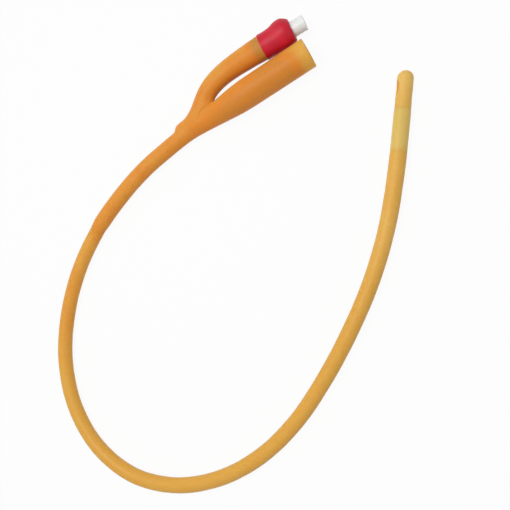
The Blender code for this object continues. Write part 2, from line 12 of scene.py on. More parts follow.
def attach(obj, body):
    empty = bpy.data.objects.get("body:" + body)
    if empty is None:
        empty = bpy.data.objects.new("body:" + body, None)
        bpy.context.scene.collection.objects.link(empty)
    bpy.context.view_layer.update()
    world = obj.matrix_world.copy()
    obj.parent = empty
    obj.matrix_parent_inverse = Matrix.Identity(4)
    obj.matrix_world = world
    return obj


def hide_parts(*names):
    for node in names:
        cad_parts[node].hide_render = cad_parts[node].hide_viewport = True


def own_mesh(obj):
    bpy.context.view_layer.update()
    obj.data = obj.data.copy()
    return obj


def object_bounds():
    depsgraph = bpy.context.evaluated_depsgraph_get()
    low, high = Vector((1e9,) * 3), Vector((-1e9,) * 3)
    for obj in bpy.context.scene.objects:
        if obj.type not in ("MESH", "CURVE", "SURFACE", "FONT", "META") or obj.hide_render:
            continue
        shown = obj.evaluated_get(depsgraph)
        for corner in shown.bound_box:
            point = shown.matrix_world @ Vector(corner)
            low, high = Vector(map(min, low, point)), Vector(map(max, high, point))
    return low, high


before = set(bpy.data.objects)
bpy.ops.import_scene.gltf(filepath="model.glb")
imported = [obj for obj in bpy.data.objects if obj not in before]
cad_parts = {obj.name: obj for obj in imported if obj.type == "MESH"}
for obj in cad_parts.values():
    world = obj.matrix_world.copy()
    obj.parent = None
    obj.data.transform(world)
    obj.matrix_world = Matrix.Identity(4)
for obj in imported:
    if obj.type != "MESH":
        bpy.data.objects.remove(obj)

CAD_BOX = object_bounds()

bl_info = {
    "name": "Foley Catheter Dressing",
    "version": (1, 0, 0),
    "blender": (4, 5, 0),
    "location": "View3D > Sidebar > Catheter",
    "description": "Builds the smooth latex tube, its Y connector and valve, and a plain stage",
    "category": "Object",
}

# Where the shaft lies, from the tip round the loop to the funnel's mouth, seen from above
SHAFT_ROUTE = (
    (0.0923, 0.0317),
    (0.0843, 0.0191),
    (0.0733, 0.0024),
    (0.0614, -0.0136),
    (0.0476, -0.0282),
    (0.0323, -0.0410),
    (0.0159, -0.0525),
    (-0.0015, -0.0623),
    (-0.0204, -0.0687),
    (-0.0404, -0.0703),
    (-0.0600, -0.0662),
    (-0.0769, -0.0556),
    (-0.0876, -0.0389),
    (-0.0905, -0.0192),
    (-0.0859, 0.0003),
    (-0.0757, 0.0173),
    (-0.0619, 0.0316),
    (-0.0454, 0.0426),
    (-0.0269, 0.0503),
    (-0.0130, 0.0541),
    (-0.0016, 0.0558),
    (0.0100, 0.0569),
    (0.0220, 0.0566),
    (0.0345, 0.0561),
    (0.0464, 0.0560),
    (0.0667, 0.0560),
)
MOUTH = Vector(SHAFT_ROUTE[-1])

# The inflation arm: the distance back from the mouth, and the share of the port's offset
ARM_ROUTE = (
    (0.0607, 0.207),
    (0.0574, 0.232),
    (0.0534, 0.266),
    (0.0493, 0.402),
    (0.0457, 0.604),
    (0.0419, 0.822),
    (0.0382, 0.953),
    (0.0335, 1.033),
    (0.0280, 1.055),
    (0.0220, 1.037),
)

# Two more points of the arm lie on the port's axis. It widens by a power of its length.
ARM_STRAIGHT = (-0.0030, 0.0020)
ARM_FLARE = 1.5

# The inflation port starts this far back from the mouth and beside it, and leans in
PORT_SETBACK = 0.0139
PORT_OFFSET = 0.011869
PORT_TOE_IN = radians(3.5)

# Stations along the port's axis, outwards from the cuff's inner edge
NECK_LENGTH = 0.0085
FLANGE_START = 0.0088
FLANGE_END = 0.0098
WEB_TOP = 0.0103
CUFF_END = 0.0126
HUB_END = 0.0178

# The drain lumen inside the shaft
LUMEN_DIAMETER = 0.0030

# How far the connector's cutters run past what they cut
RUN_OUT = 0.002

# The camera, as the photograph was taken. Its focal length is a share of its sensor's width.
CAMERA_PLACE = (0.0712, -0.0308, 0.1913)
CAMERA_TURN = (radians(0.29), radians(19.27), radians(-27.45))
SENSOR_WIDTH = 36.0
FOCAL_SHARE = 520.8 / 510

# How thin and pale the latex is along the catheter, from brown at -0.5 to pale at 1
NOSE_PALENESS = 0.95
NECK_PALENESS = 0.76
SLEEVE_START_PALENESS = 0.58
SLEEVE_PALENESS = 1.0
SLEEVE_END_PALENESS = 0.76
SHAFT_START_PALENESS = 0.70
SHAFT_MIDDLE_PALENESS = 0.55
SHAFT_END_PALENESS = 0.31
ROOT_PALENESS = 0.18

# How deep the bump of the latex and the plastics is
RELIEF = 0.00001

# Keeps a division away from zero
TINY = 1e-9


class CatheterSizes(bpy.types.PropertyGroup):
    """Sizes of the latex body, in metres."""

    shaft_diameter: bpy.props.FloatProperty(
        name="Shaft diameter",
        description="Outside width of the plain shaft, 18 Fr",
        default=0.0060,
        subtype="DISTANCE",
    )
    tip_reduction: bpy.props.FloatProperty(
        name="Tip reduction",
        description="How much slimmer the eyed tip is than the shaft",
        default=0.0003,
        subtype="DISTANCE",
    )
    root_thickening: bpy.props.FloatProperty(
        name="Root thickening",
        description="How much thicker the root before the Y is than the shaft",
        default=0.0006,
        subtype="DISTANCE",
    )
    root_length: bpy.props.FloatProperty(
        name="Root length",
        description="From the thicker root's step to the drain funnel's mouth",
        default=0.1110,
        subtype="DISTANCE",
    )
    tip_section: bpy.props.FloatProperty(
        name="Tip section",
        description="From the tip to the balloon sleeve",
        default=0.0133,
        subtype="DISTANCE",
    )
    balloon_length: bpy.props.FloatProperty(
        name="Balloon length",
        description="Length of the empty balloon sleeve",
        default=0.0149,
        subtype="DISTANCE",
    )
    funnel_diameter: bpy.props.FloatProperty(
        name="Funnel diameter",
        description="Outside width of the drain funnel",
        default=0.0112,
        subtype="DISTANCE",
    )
    funnel_wall: bpy.props.FloatProperty(
        name="Funnel wall",
        description="Thickness of the funnel's wall at its mouth",
        default=0.0014,
        subtype="DISTANCE",
    )
    cone_start: bpy.props.FloatProperty(
        name="Cone start",
        description="Where the funnel starts to widen, back from its mouth",
        default=0.0560,
        subtype="DISTANCE",
    )
    cone_end: bpy.props.FloatProperty(
        name="Cone end",
        description="Where the funnel is fully wide, back from its mouth",
        default=0.0260,
        subtype="DISTANCE",
    )
    arm_end_diameter: bpy.props.FloatProperty(
        name="Arm end diameter",
        description="Outside width of the inflation arm at the cuff",
        default=0.0094,
        subtype="DISTANCE",
    )
    crotch_blend: bpy.props.FloatProperty(
        name="Crotch blend",
        description="How widely the arm flows into the funnel",
        default=0.0022,
        subtype="DISTANCE",
    )
    skin_grain: bpy.props.FloatProperty(
        name="Skin grain",
        description="Size of the faces on the Y connector",
        default=0.0004,
        subtype="DISTANCE",
    )


class CatheterColours(bpy.types.PropertyGroup):
    """Colours of the catheter's finishes."""

    # Brown latex: the Y connector uses it for painted shade on the funnel's far side and for a
    # painted shadow of the cuff on the funnel, and the arm turns browner towards the cuff
    brown_latex: bpy.props.FloatVectorProperty(
        name="Brown latex",
        description="The thickest latex, on the funnel and at the cuff",
        default=(0.55, 0.255, 0.045),
        subtype="COLOR",
    )
    orange_latex: bpy.props.FloatVectorProperty(
        name="Orange latex",
        description="The thick latex of the Y connector",
        default=(0.76, 0.26, 0.028),
        subtype="COLOR",
    )
    golden_latex: bpy.props.FloatVectorProperty(
        name="Golden latex",
        description="The latex of the shaft",
        default=(0.78, 0.415, 0.068),
        subtype="COLOR",
    )
    pale_latex: bpy.props.FloatVectorProperty(
        name="Pale latex",
        description="The thin latex near the tip and on the balloon",
        default=(0.86, 0.545, 0.145),
        subtype="COLOR",
    )
    red_rubber: bpy.props.FloatVectorProperty(
        name="Red rubber",
        description="The dipped cuff that codes the size",
        default=(0.60, 0.010, 0.032),
        subtype="COLOR",
    )
    white_plastic: bpy.props.FloatVectorProperty(
        name="White plastic",
        description="The moulded valve housing",
        default=(0.84, 0.87, 0.85),
        subtype="COLOR",
    )


class CatheterStage(bpy.types.PropertyGroup):
    """Sizes and strengths of the stage."""

    floor_size: bpy.props.FloatProperty(
        name="Floor size",
        description="Length of the floor's sides",
        default=4.0,
        subtype="DISTANCE",
    )
    key_power: bpy.props.FloatProperty(
        name="Key light",
        description="Power of the main lamp, which the side lamp follows",
        default=0.70,
        unit="POWER",
    )
    floor_glow: bpy.props.FloatProperty(
        name="Floor whiteness",
        description="Share of the floor that the camera sees as plain white",
        default=0.94,
        min=0.0,
        max=1.0,
        subtype="FACTOR",
    )


def smooth_step(share):
    """Eases a share from 0 to 1, and holds it within them."""
    share = min(max(share, 0.0), 1.0)
    return share * share * (3 - 2 * share)


def ramp(at, start, length):
    """Rises smoothly from 0 at the start to 1 where it is one length further on."""
    return smooth_step((at - start) / length)


def between(low, high, share):
    return low + (high - low) * share


class Route:
    """A smooth curve through points seen from above, measured by the distance along it."""

    SAMPLES = 40

    def __init__(self, points):
        points = [Vector(point) for point in points]
        before = points[0] * 2 - points[1]
        after = points[-1] * 2 - points[-2]
        points = [before, *points, after]
        self.dots = []
        for four in zip(points, points[1:], points[2:], points[3:]):
            self.dots += self.stretch(*four)
        self.dots.append(points[-2])
        self.along = [0.0]
        for one, two in zip(self.dots, self.dots[1:]):
            self.along.append(self.along[-1] + (two - one).length)
        self.length = self.along[-1]

    def stretch(self, before, start, end, after):
        """Points from start up to end, on a curve whose knots keep it from bulging."""
        knots = [0.0]
        for one, two in ((before, start), (start, end), (end, after)):
            knots.append(knots[-1] + sqrt((two - one).length))

        def mix(one, two, low, high, at):
            return one.lerp(two, (at - knots[low]) / (knots[high] - knots[low]))

        dots = []
        for step in range(self.SAMPLES):
            at = between(knots[1], knots[2], step / self.SAMPLES)
            first = mix(before, start, 0, 1, at)
            second = mix(start, end, 1, 2, at)
            third = mix(end, after, 2, 3, at)
            first = mix(first, second, 0, 2, at)
            second = mix(second, third, 1, 3, at)
            dots.append(mix(first, second, 1, 2, at))
        return dots

    def at(self, distance):
        """The point at this distance and the way left of it. Both ends run on straight."""
        index = bisect_right(self.along, distance) - 1
        index = min(max(index, 0), len(self.dots) - 2)
        forward = (self.dots[index + 1] - self.dots[index]).normalized()
        place = self.dots[index] + forward * (distance - self.along[index])
        return place, Vector((-forward.y, forward.x))


def sizes():
    return bpy.context.scene.catheter_sizes


def colours():
    return bpy.context.scene.catheter_colours


def port_height():
    return sizes().funnel_diameter / 2


def port_matrix():
    """The port's own frame: X out along its axis from the cuff's inner edge."""
    place = (MOUTH.x - PORT_SETBACK, MOUTH.y + PORT_OFFSET, port_height())
    return Matrix.Translation(place) @ Matrix.Rotation(-PORT_TOE_IN, 4, "Z")


def port_point(along):
    return (port_matrix() @ Vector((along, 0, 0))).xy


def arm_route():
    points = [(MOUTH.x - back, MOUTH.y + share * PORT_OFFSET) for back, share in ARM_ROUTE]
    points += [port_point(along) for along in (*ARM_STRAIGHT, NECK_LENGTH)]
    return Route(points)


def root_diameter():
    return sizes().shaft_diameter + sizes().root_thickening


def root_radius(shaft, distance):
    """The outside of the thicker root and of the drain funnel."""
    size = sizes()
    from_mouth = shaft.length - distance
    share = smooth_step((size.cone_start - from_mouth) / (size.cone_start - size.cone_end))
    return between(root_diameter(), size.funnel_diameter, share) / 2


def shaft_height(shaft, distance):
    """How high the middle of the shaft, the root and the funnel lies."""
    size = sizes()
    from_mouth = shaft.length - distance
    if from_mouth < size.root_length:
        return root_radius(shaft, distance)
    rise = smooth_step(1 - (from_mouth - size.root_length) / size.shaft_diameter)
    return between(size.shaft_diameter, root_diameter(), rise) / 2


def arm_radius(arm, distance):
    """The outside of the inflation arm, up to its end under the cuff."""
    share = min(max(distance / (arm.length - NECK_LENGTH), 0.0), 1.0)
    return between(root_diameter(), sizes().arm_end_diameter, share**ARM_FLARE) / 2


def arm_height(arm, distance):
    """How high the arm's middle lies, from the root's height to the port's."""
    share = smooth_step(distance / (arm.length - NECK_LENGTH))
    return between(root_diameter() / 2, port_height(), share)


# Making meshes


def ring_angles(sides):
    """The angles of a ring's points, which lie either side of its axes."""
    return [2 * pi * (side + 0.5) / sides for side in range(sides)]


def upright_ring(place, height, left, radius, sides, ripple=None):
    """A ring of points about a middle seen from above, in the plane of left and up. Ripple
    gives what it adds to the radius at each angle."""
    ring = []
    for angle in ring_angles(sides):
        reach = radius + (ripple(angle) if ripple else 0.0)
        spot = place + left * (reach * cos(angle))
        ring.append(Vector((spot.x, spot.y, height + reach * sin(angle))))
    return ring


def axis_rings(profile, sides, swelling=None):
    """Rings about X from (along, radius) pairs, where a radius of 0 is a point on the axis."""
    rings = []
    for along, radius in profile:
        if radius == 0.0:
            rings.append([Vector((along, 0, 0))])
            continue
        ring = []
        for angle in ring_angles(sides):
            reach = radius + (swelling(along, angle) if swelling else 0.0)
            ring.append(Vector((along, reach * cos(angle), reach * sin(angle))))
        rings.append(ring)
    return rings


def skinned(rings, closed=False):
    """A bmesh with faces between rings of points. A ring of one point is a pole. A closed
    row of rings joins its last to its first, and an open one is capped at both ends."""
    shape = bmesh.new()
    loops = [[shape.verts.new(point) for point in ring] for ring in rings]
    pairs = list(zip(loops, loops[1:]))
    if closed:
        pairs.append((loops[-1], loops[0]))
    for one, two in pairs:
        sides = max(len(one), len(two))
        for side in range(sides):
            after = (side + 1) % sides
            if len(one) == 1:
                shape.faces.new((one[0], two[after], two[side]))
            elif len(two) == 1:
                shape.faces.new((one[side], one[after], two[0]))
            else:
                shape.faces.new((one[side], one[after], two[after], two[side]))
    if not closed:
        for loop in (loops[0], loops[-1]):
            if len(loop) > 1:
                shape.faces.new(loop)
    bmesh.ops.recalc_face_normals(shape, faces=shape.faces)
    return shape


def new_piece(name, shape, matrix=None):
    mesh = bpy.data.meshes.new(name)
    shape.to_mesh(mesh)
    shape.free()
    if matrix:
        mesh.transform(matrix)
    mesh.shade_smooth()
    piece = bpy.data.objects.new(name, mesh)
    bpy.context.scene.collection.objects.link(piece)
    return piece


def apply_modifiers(piece):
    """Keeps the shape that the piece's modifiers give, and takes them away."""
    graph = bpy.context.evaluated_depsgraph_get()
    mesh = bpy.data.meshes.new_from_object(piece.evaluated_get(graph))
    piece.modifiers.clear()
    piece.data = mesh
    mesh.name = piece.name
    mesh.shade_smooth()


def combine(piece, operation, *others):
    """Joins these objects to the piece or cuts them out of it, and removes them."""
    for other in others:
        modifier = piece.modifiers.new(other.name, "BOOLEAN")
        modifier.operation = operation
        modifier.solver = "EXACT"
        modifier.object = other
    apply_modifiers(piece)
    for other in others:
        bpy.data.objects.remove(other)


def remesh(piece, grain, smoothing):
    """Skins the piece with even faces of this size, and rounds its edges."""
    modifier = piece.modifiers.new("even_skin", "REMESH")
    modifier.mode = "VOXEL"
    modifier.voxel_size = grain
    soften = piece.modifiers.new("soften", "SMOOTH")
    soften.iterations = smoothing
    apply_modifiers(piece)


def spread(start, end, spacing):
    """Even distances from start up to end, with both."""
    count = max(1, round((end - start) / spacing))
    return [between(start, end, step / count) for step in range(count + 1)]


def arc(centre, radius, start, end, steps):
    """(along, radius) pairs on an arc, with the angles in degrees from the axis."""
    pairs = []
    for step in range(steps + 1):
        turn = radians(between(start, end, step / steps))
        pairs.append((centre[0] + radius * cos(turn), centre[1] + radius * sin(turn)))
    return pairs


def keep_paleness(piece, shares):
    """Keeps how pale the latex is at each point for the piece's material: its tone, and on the Y
    connector also painted light and painted shade.
    """
    layer = piece.data.attributes.new("paleness", "FLOAT", "POINT")
    layer.data.foreach_set("value", shares)


# Materials

SKIN_OUTPUTS = (
    ("Color", "NodeSocketColor"),
    ("Roughness", "NodeSocketFloat"),
    ("Height", "NodeSocketFloat"),
)

# How fine each texture is, as its scale over a place in metres
LATEX_DRIFT = 75.0
LATEX_MOTTLE = 700.0
LATEX_GRAIN = 3200.0
LATEX_PORES = 1500.0
MOULD_CLOUD = 260.0
MOULD_GRAIN = 4200.0

# Most of a noise texture's values lie between these
NOISE_SPAN = (0.3, 0.7)


def add_node(tree, kind, **values):
    node = tree.nodes.new(kind)
    for name, value in values.items():
        setattr(node, name, value)
    return node


def noise(tree, where, scale, detail, roughness=0.5):
    node = add_node(tree, "ShaderNodeTexNoise")
    node.inputs["Scale"].default_value = scale
    node.inputs["Detail"].default_value = detail
    node.inputs["Roughness"].default_value = roughness
    tree.links.new(where, node.inputs["Vector"])
    return node.outputs["Fac"]


def ranged(tree, value, low, high, to_low, to_high):
    node = add_node(tree, "ShaderNodeMapRange", interpolation_type="SMOOTHSTEP")
    node.inputs["From Min"].default_value = low
    node.inputs["From Max"].default_value = high
    node.inputs["To Min"].default_value = to_low
    node.inputs["To Max"].default_value = to_high
    tree.links.new(value, node.inputs["Value"])
    return node.outputs["Result"]


def swing(tree, value, low, high):
    """Noise spread from low to high."""
    return ranged(tree, value, *NOISE_SPAN, low, high)


def arithmetic(tree, operation, one, two):
    node = add_node(tree, "ShaderNodeMath", operation=operation)
    for socket, value in zip(node.inputs, (one, two)):
        if isinstance(value, float):
            socket.default_value = value
        else:
            tree.links.new(value, socket)
    return node.outputs["Value"]


def mixed_colour(tree, share, one, two):
    node = add_node(tree, "ShaderNodeMix", data_type="RGBA")
    tree.links.new(share, node.inputs["Factor"])
    tree.links.new(one, node.inputs["A"])
    tree.links.new(two, node.inputs["B"])
    return node.outputs["Result"]


def new_skin(name, inputs):
    """A shader node group for a skin, with these (name, kind, default) inputs."""
    tree = bpy.data.node_groups.new(name, "ShaderNodeTree")
    for label, kind, default in inputs:
        socket = tree.interface.new_socket(label, in_out="INPUT", socket_type=kind)
        socket.default_value = default
    for label, kind in SKIN_OUTPUTS:
        tree.interface.new_socket(label, in_out="OUTPUT", socket_type=kind)
    where = add_node(tree, "ShaderNodeTexCoord").outputs["Object"]
    return tree, add_node(tree, "NodeGroupInput").outputs, where


def put_out(tree, colour, brightness, roughness, height):
    """Connects what a skin gives: a colour of varied brightness, a roughness and a height."""
    out = add_node(tree, "NodeGroupOutput")
    shade = add_node(tree, "ShaderNodeHueSaturation")
    tree.links.new(colour, shade.inputs["Color"])
    tree.links.new(brightness, shade.inputs["Value"])
    tree.links.new(shade.outputs["Color"], out.inputs["Color"])
    tree.links.new(roughness, out.inputs["Roughness"])
    tree.links.new(height, out.inputs["Height"])
    return tree


def latex_skin():
    """Dipped latex by its paleness: brown at -0.5, which also carries painted shade and a painted
    shadow on the Y connector, orange at 0, golden at 0.5 and pale at 1 where it is thin, with
    fine mottling, a grain and pores."""
    if "latex_skin" in bpy.data.node_groups:
        return bpy.data.node_groups["latex_skin"]
    tree, given, where = new_skin(
        "latex_skin",
        [
            ("Brown", "NodeSocketColor", (0.5, 0.3, 0.1, 1.0)),
            ("Orange", "NodeSocketColor", (0.7, 0.3, 0.1, 1.0)),
            ("Golden", "NodeSocketColor", (0.7, 0.4, 0.1, 1.0)),
            ("Pale", "NodeSocketColor", (0.7, 0.5, 0.2, 1.0)),
            ("Paleness", "NodeSocketFloat", 0.5),
            ("Roughness", "NodeSocketFloat", 0.4),
        ],
    )
    drift = noise(tree, where, LATEX_DRIFT, detail=2.0)
    mottle = noise(tree, where, LATEX_MOTTLE, detail=4.0, roughness=0.6)
    grain = noise(tree, where, LATEX_GRAIN, detail=3.0, roughness=0.6)
    pores = add_node(tree, "ShaderNodeTexVoronoi", feature="F1")
    pores.inputs["Scale"].default_value = LATEX_PORES
    tree.links.new(where, pores.inputs["Vector"])
    paleness = arithmetic(tree, "ADD", given["Paleness"], swing(tree, drift, -0.05, 0.05))
    paleness = arithmetic(tree, "ADD", paleness, swing(tree, mottle, -0.02, 0.02))
    colour = given["Brown"]
    for start, end, paler in ((-0.5, 0.0, "Orange"), (0.0, 0.5, "Golden"), (0.5, 1.0, "Pale")):
        share = ranged(tree, paleness, start, end, 0.0, 1.0)
        colour = mixed_colour(tree, share, colour, given[paler])
    brightness = ranged(tree, mottle, 0.25, 0.75, 0.985, 1.015)
    rough = arithmetic(tree, "ADD", given["Roughness"], swing(tree, mottle, -0.05, 0.07))
    pits = ranged(tree, pores.outputs["Distance"], 0.0, 0.16, 0.0, 1.0)
    height = arithmetic(tree, "ADD", arithmetic(tree, "MULTIPLY", grain, 0.5), mottle)
    height = arithmetic(tree, "ADD", height, arithmetic(tree, "MULTIPLY", pits, 0.3))
    return put_out(tree, colour, brightness, rough, height)


def moulded_skin():
    """Moulded plastic or rubber: a slightly uneven tone, flow marks and a fine grain."""
    if "moulded_skin" in bpy.data.node_groups:
        return bpy.data.node_groups["moulded_skin"]
    tree, given, where = new_skin(
        "moulded_skin",
        [
            ("Color", "NodeSocketColor", (0.8, 0.8, 0.8, 1.0)),
            ("Unevenness", "NodeSocketFloat", 0.05),
            ("Roughness", "NodeSocketFloat", 0.35),
        ],
    )
    cloud = noise(tree, where, MOULD_CLOUD, detail=3.0)
    grain = noise(tree, where, MOULD_GRAIN, detail=3.0, roughness=0.6)
    uneven = arithmetic(tree, "MULTIPLY", swing(tree, cloud, -1.0, 1.0), given["Unevenness"])
    brightness = arithmetic(tree, "ADD", uneven, 1.0)
    rough = arithmetic(tree, "ADD", given["Roughness"], swing(tree, grain, -0.05, 0.05))
    height = arithmetic(tree, "ADD", arithmetic(tree, "MULTIPLY", cloud, 0.4), grain)
    return put_out(tree, given["Color"], brightness, rough, height)


def new_material(name, group, values, **settings):
    """A material whose colour, roughness and bump come from a group. Settings are constants
    on the shader's own sockets."""
    material = bpy.data.materials.new(name)
    material.use_nodes = True
    tree = material.node_tree
    shader = tree.nodes["Principled BSDF"]
    for label, value in settings.items():
        shader.inputs[label.replace("_", " ")].default_value = value
    skin = add_node(tree, "ShaderNodeGroup", node_tree=group)
    for label, value in values.items():
        skin.inputs[label].default_value = (*value, 1.0) if hasattr(value, "__len__") else value
    relief = add_node(tree, "ShaderNodeBump")
    relief.inputs["Strength"].default_value = 1.0
    relief.inputs["Distance"].default_value = RELIEF
    tree.links.new(skin.outputs["Color"], shader.inputs["Base Color"])
    tree.links.new(skin.outputs["Roughness"], shader.inputs["Roughness"])
    tree.links.new(skin.outputs["Height"], relief.inputs["Height"])
    tree.links.new(relief.outputs["Normal"], shader.inputs["Normal"])
    return material, skin


def latex_material(name, roughness=0.40):
    """Latex whose paleness is kept on the piece's points."""
    tones = colours()
    values = {
        "Brown": tones.brown_latex,
        "Orange": tones.orange_latex,
        "Golden": tones.golden_latex,
        "Pale": tones.pale_latex,
        "Roughness": roughness,
    }
    material, skin = new_material(
        name,
        latex_skin(),
        values,
        Subsurface_Weight=0.35,
        Subsurface_Radius=(1.0, 0.42, 0.12),
        Subsurface_Scale=0.0020,
        Specular_IOR_Level=0.20,
    )
    kept = add_node(material.node_tree, "ShaderNodeAttribute", attribute_name="paleness")
    material.node_tree.links.new(kept.outputs["Fac"], skin.inputs["Paleness"])
    return material


def plastic_material(name, colour, roughness, unevenness, **settings):
    values = {"Color": colour, "Roughness": roughness, "Unevenness": unevenness}
    material, _ = new_material(name, moulded_skin(), values, **settings)
    return material


# The pieces


class CATHETER_OT_stage(bpy.types.Operator):
    """Add the camera, the pale floor, the lamps and the white background"""

    bl_idname = "catheter.stage"
    bl_label = "Stage"

    CLIP_START = 0.01
    FLOOR_GAP = 0.0001
    FLOOR_PARTS = 8
    FLOOR_COLOUR = (0.82, 0.82, 0.82, 1.0)
    KEY_PLACE = (-0.02, 0.08, 0.36)
    KEY_WIDTH = 0.20
    SIDE_PLACE = (-0.15, 0.50, 0.34)
    SIDE_WIDTH = 0.30
    SIDE_SHARE = 0.30
    WORLD_LIGHT = 0.445

    def execute(self, context):
        settings = context.scene.catheter_stage
        self.place_camera(context.scene)
        shape = bmesh.new()
        half = settings.floor_size / 2
        parts = self.FLOOR_PARTS
        bmesh.ops.create_grid(shape, x_segments=parts, y_segments=parts, size=half)
        below = Matrix.Translation((0, 0, CAD_BOX[0].z - self.FLOOR_GAP))
        floor = new_piece("floor", shape, below)
        floor.data.materials.append(self.floor_material(settings.floor_glow))

        power = settings.key_power
        self.add_lamp("key_lamp", self.KEY_PLACE, self.KEY_WIDTH, power)
        self.add_lamp("side_lamp", self.SIDE_PLACE, self.SIDE_WIDTH, power * self.SIDE_SHARE)
        self.light_world(context.scene)
        context.scene.view_settings.view_transform = "Standard"
        return {"FINISHED"}

    def place_camera(self, scene):
        camera = bpy.data.objects.new("camera", bpy.data.cameras.new("camera"))
        camera.location = CAMERA_PLACE
        camera.rotation_euler = Euler(CAMERA_TURN)
        camera.data.sensor_width = SENSOR_WIDTH
        camera.data.lens = SENSOR_WIDTH * FOCAL_SHARE
        camera.data.clip_start = self.CLIP_START
        scene.collection.objects.link(camera)
        scene.camera = camera

    @staticmethod
    def add_lamp(name, place, width, power):
        """A round lamp that faces the middle of the table."""
        lamp = bpy.data.objects.new(name, bpy.data.lights.new(name, "AREA"))
        lamp.data.shape = "DISK"
        lamp.data.size = width
        lamp.data.energy = power
        lamp.location = place
        lamp.rotation_euler = (-Vector(place)).to_track_quat("-Z", "Y").to_euler()
        bpy.context.scene.collection.objects.link(lamp)

    @staticmethod
    def seen_directly(tree):
        """1 for rays that show the background: from the camera, in a gloss or through glass."""
        path = add_node(tree, "ShaderNodeLightPath").outputs
        seen = arithmetic(tree, "MAXIMUM", path["Is Camera Ray"], path["Is Glossy Ray"])
        return arithmetic(tree, "MAXIMUM", seen, path["Is Transmission Ray"])

    def floor_material(self, glow):
        """Matt, with a share of plain white where it is seen directly. The rest shows shadow."""
        material = bpy.data.materials.new("pale_floor")
        material.use_nodes = True
        tree = material.node_tree
        tree.nodes.clear()
        matt = add_node(tree, "ShaderNodeBsdfDiffuse")
        matt.inputs["Color"].default_value = self.FLOOR_COLOUR
        white = add_node(tree, "ShaderNodeEmission")
        mix = add_node(tree, "ShaderNodeMixShader")
        out = add_node(tree, "ShaderNodeOutputMaterial")
        share = arithmetic(tree, "MULTIPLY", self.seen_directly(tree), glow)
        tree.links.new(share, mix.inputs["Fac"])
        tree.links.new(matt.outputs["BSDF"], mix.inputs[1])
        tree.links.new(white.outputs["Emission"], mix.inputs[2])
        tree.links.new(mix.outputs["Shader"], out.inputs["Surface"])
        return material

    def light_world(self, scene):
        """White where it is seen directly, and dimmer as a light."""
        world = bpy.data.worlds.new("studio")
        scene.world = world
        world.use_nodes = True
        tree = world.node_tree
        sky = tree.nodes["Background"]
        sky.inputs["Color"].default_value = (1.0, 1.0, 1.0, 1.0)
        strength = ranged(tree, self.seen_directly(tree), 0.0, 1.0, self.WORLD_LIGHT, 1.0)
        tree.links.new(strength, sky.inputs["Strength"])


class CATHETER_OT_shaft(bpy.types.Operator):
    """Add the plain latex tube, from the balloon round the loop to the thicker root"""

    bl_idname = "catheter.shaft"
    bl_label = "Shaft"

    OVERLAP = 0.0006
    SPACING = 0.0011
    SIDES = 44
    HARD_EDGE = radians(50)

    # The uneven dip: how high each wave is, its radians to the metre and its start
    WAVES = ((0.00003, 410, 0.0), (0.000015, 1130, 1.0))
    WAVES_RISE = 0.004
    TUCK = 0.00008
    TUCK_LENGTH = 0.0022

    # Where the tone changes, as a start and a length. The last is measured from the end.
    MIDDLE_TONE = (0.055, 0.040)
    END_TONE = (0.240, 0.060)
    ROOT_TONE = (-0.0105, 0.0075)

    def paleness(self, distance, end):
        """Golden, a little deeper towards the root, and of the root's own tone at its end."""
        first = ramp(distance, *self.MIDDLE_TONE)
        golden = between(SHAFT_START_PALENESS, SHAFT_MIDDLE_PALENESS, first)
        golden = between(golden, SHAFT_END_PALENESS, ramp(distance, *self.END_TONE))
        return between(golden, ROOT_PALENESS, ramp(distance - end, *self.ROOT_TONE))

    def execute(self, context):
        size = sizes()
        shaft = Route(SHAFT_ROUTE)
        start = size.tip_section + size.balloon_length - self.OVERLAP
        end = shaft.length - size.root_length
        rings = []
        shares = []
        for distance in spread(start, end, self.SPACING):
            place, left = shaft.at(distance)
            height = shaft_height(shaft, distance)
            swell = sum(high * sin(distance * pace + begin) for high, pace, begin in self.WAVES)
            radius = size.shaft_diameter / 2 + swell * ramp(distance, start, self.WAVES_RISE)
            radius -= self.TUCK * (1 - ramp(distance, start, self.TUCK_LENGTH))
            rings.append(upright_ring(place, height, left, min(radius, height), self.SIDES))
            shares += [self.paleness(distance, end)] * self.SIDES
        tube = new_piece("shaft_tube", skinned(rings))
        tube.data.set_sharp_from_angle(angle=self.HARD_EDGE)
        keep_paleness(tube, shares)
        tube.data.materials.append(latex_material("shaft_latex"))
        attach(tube, "catheter")
        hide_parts("catheter_body")
        return {"FINISHED"}


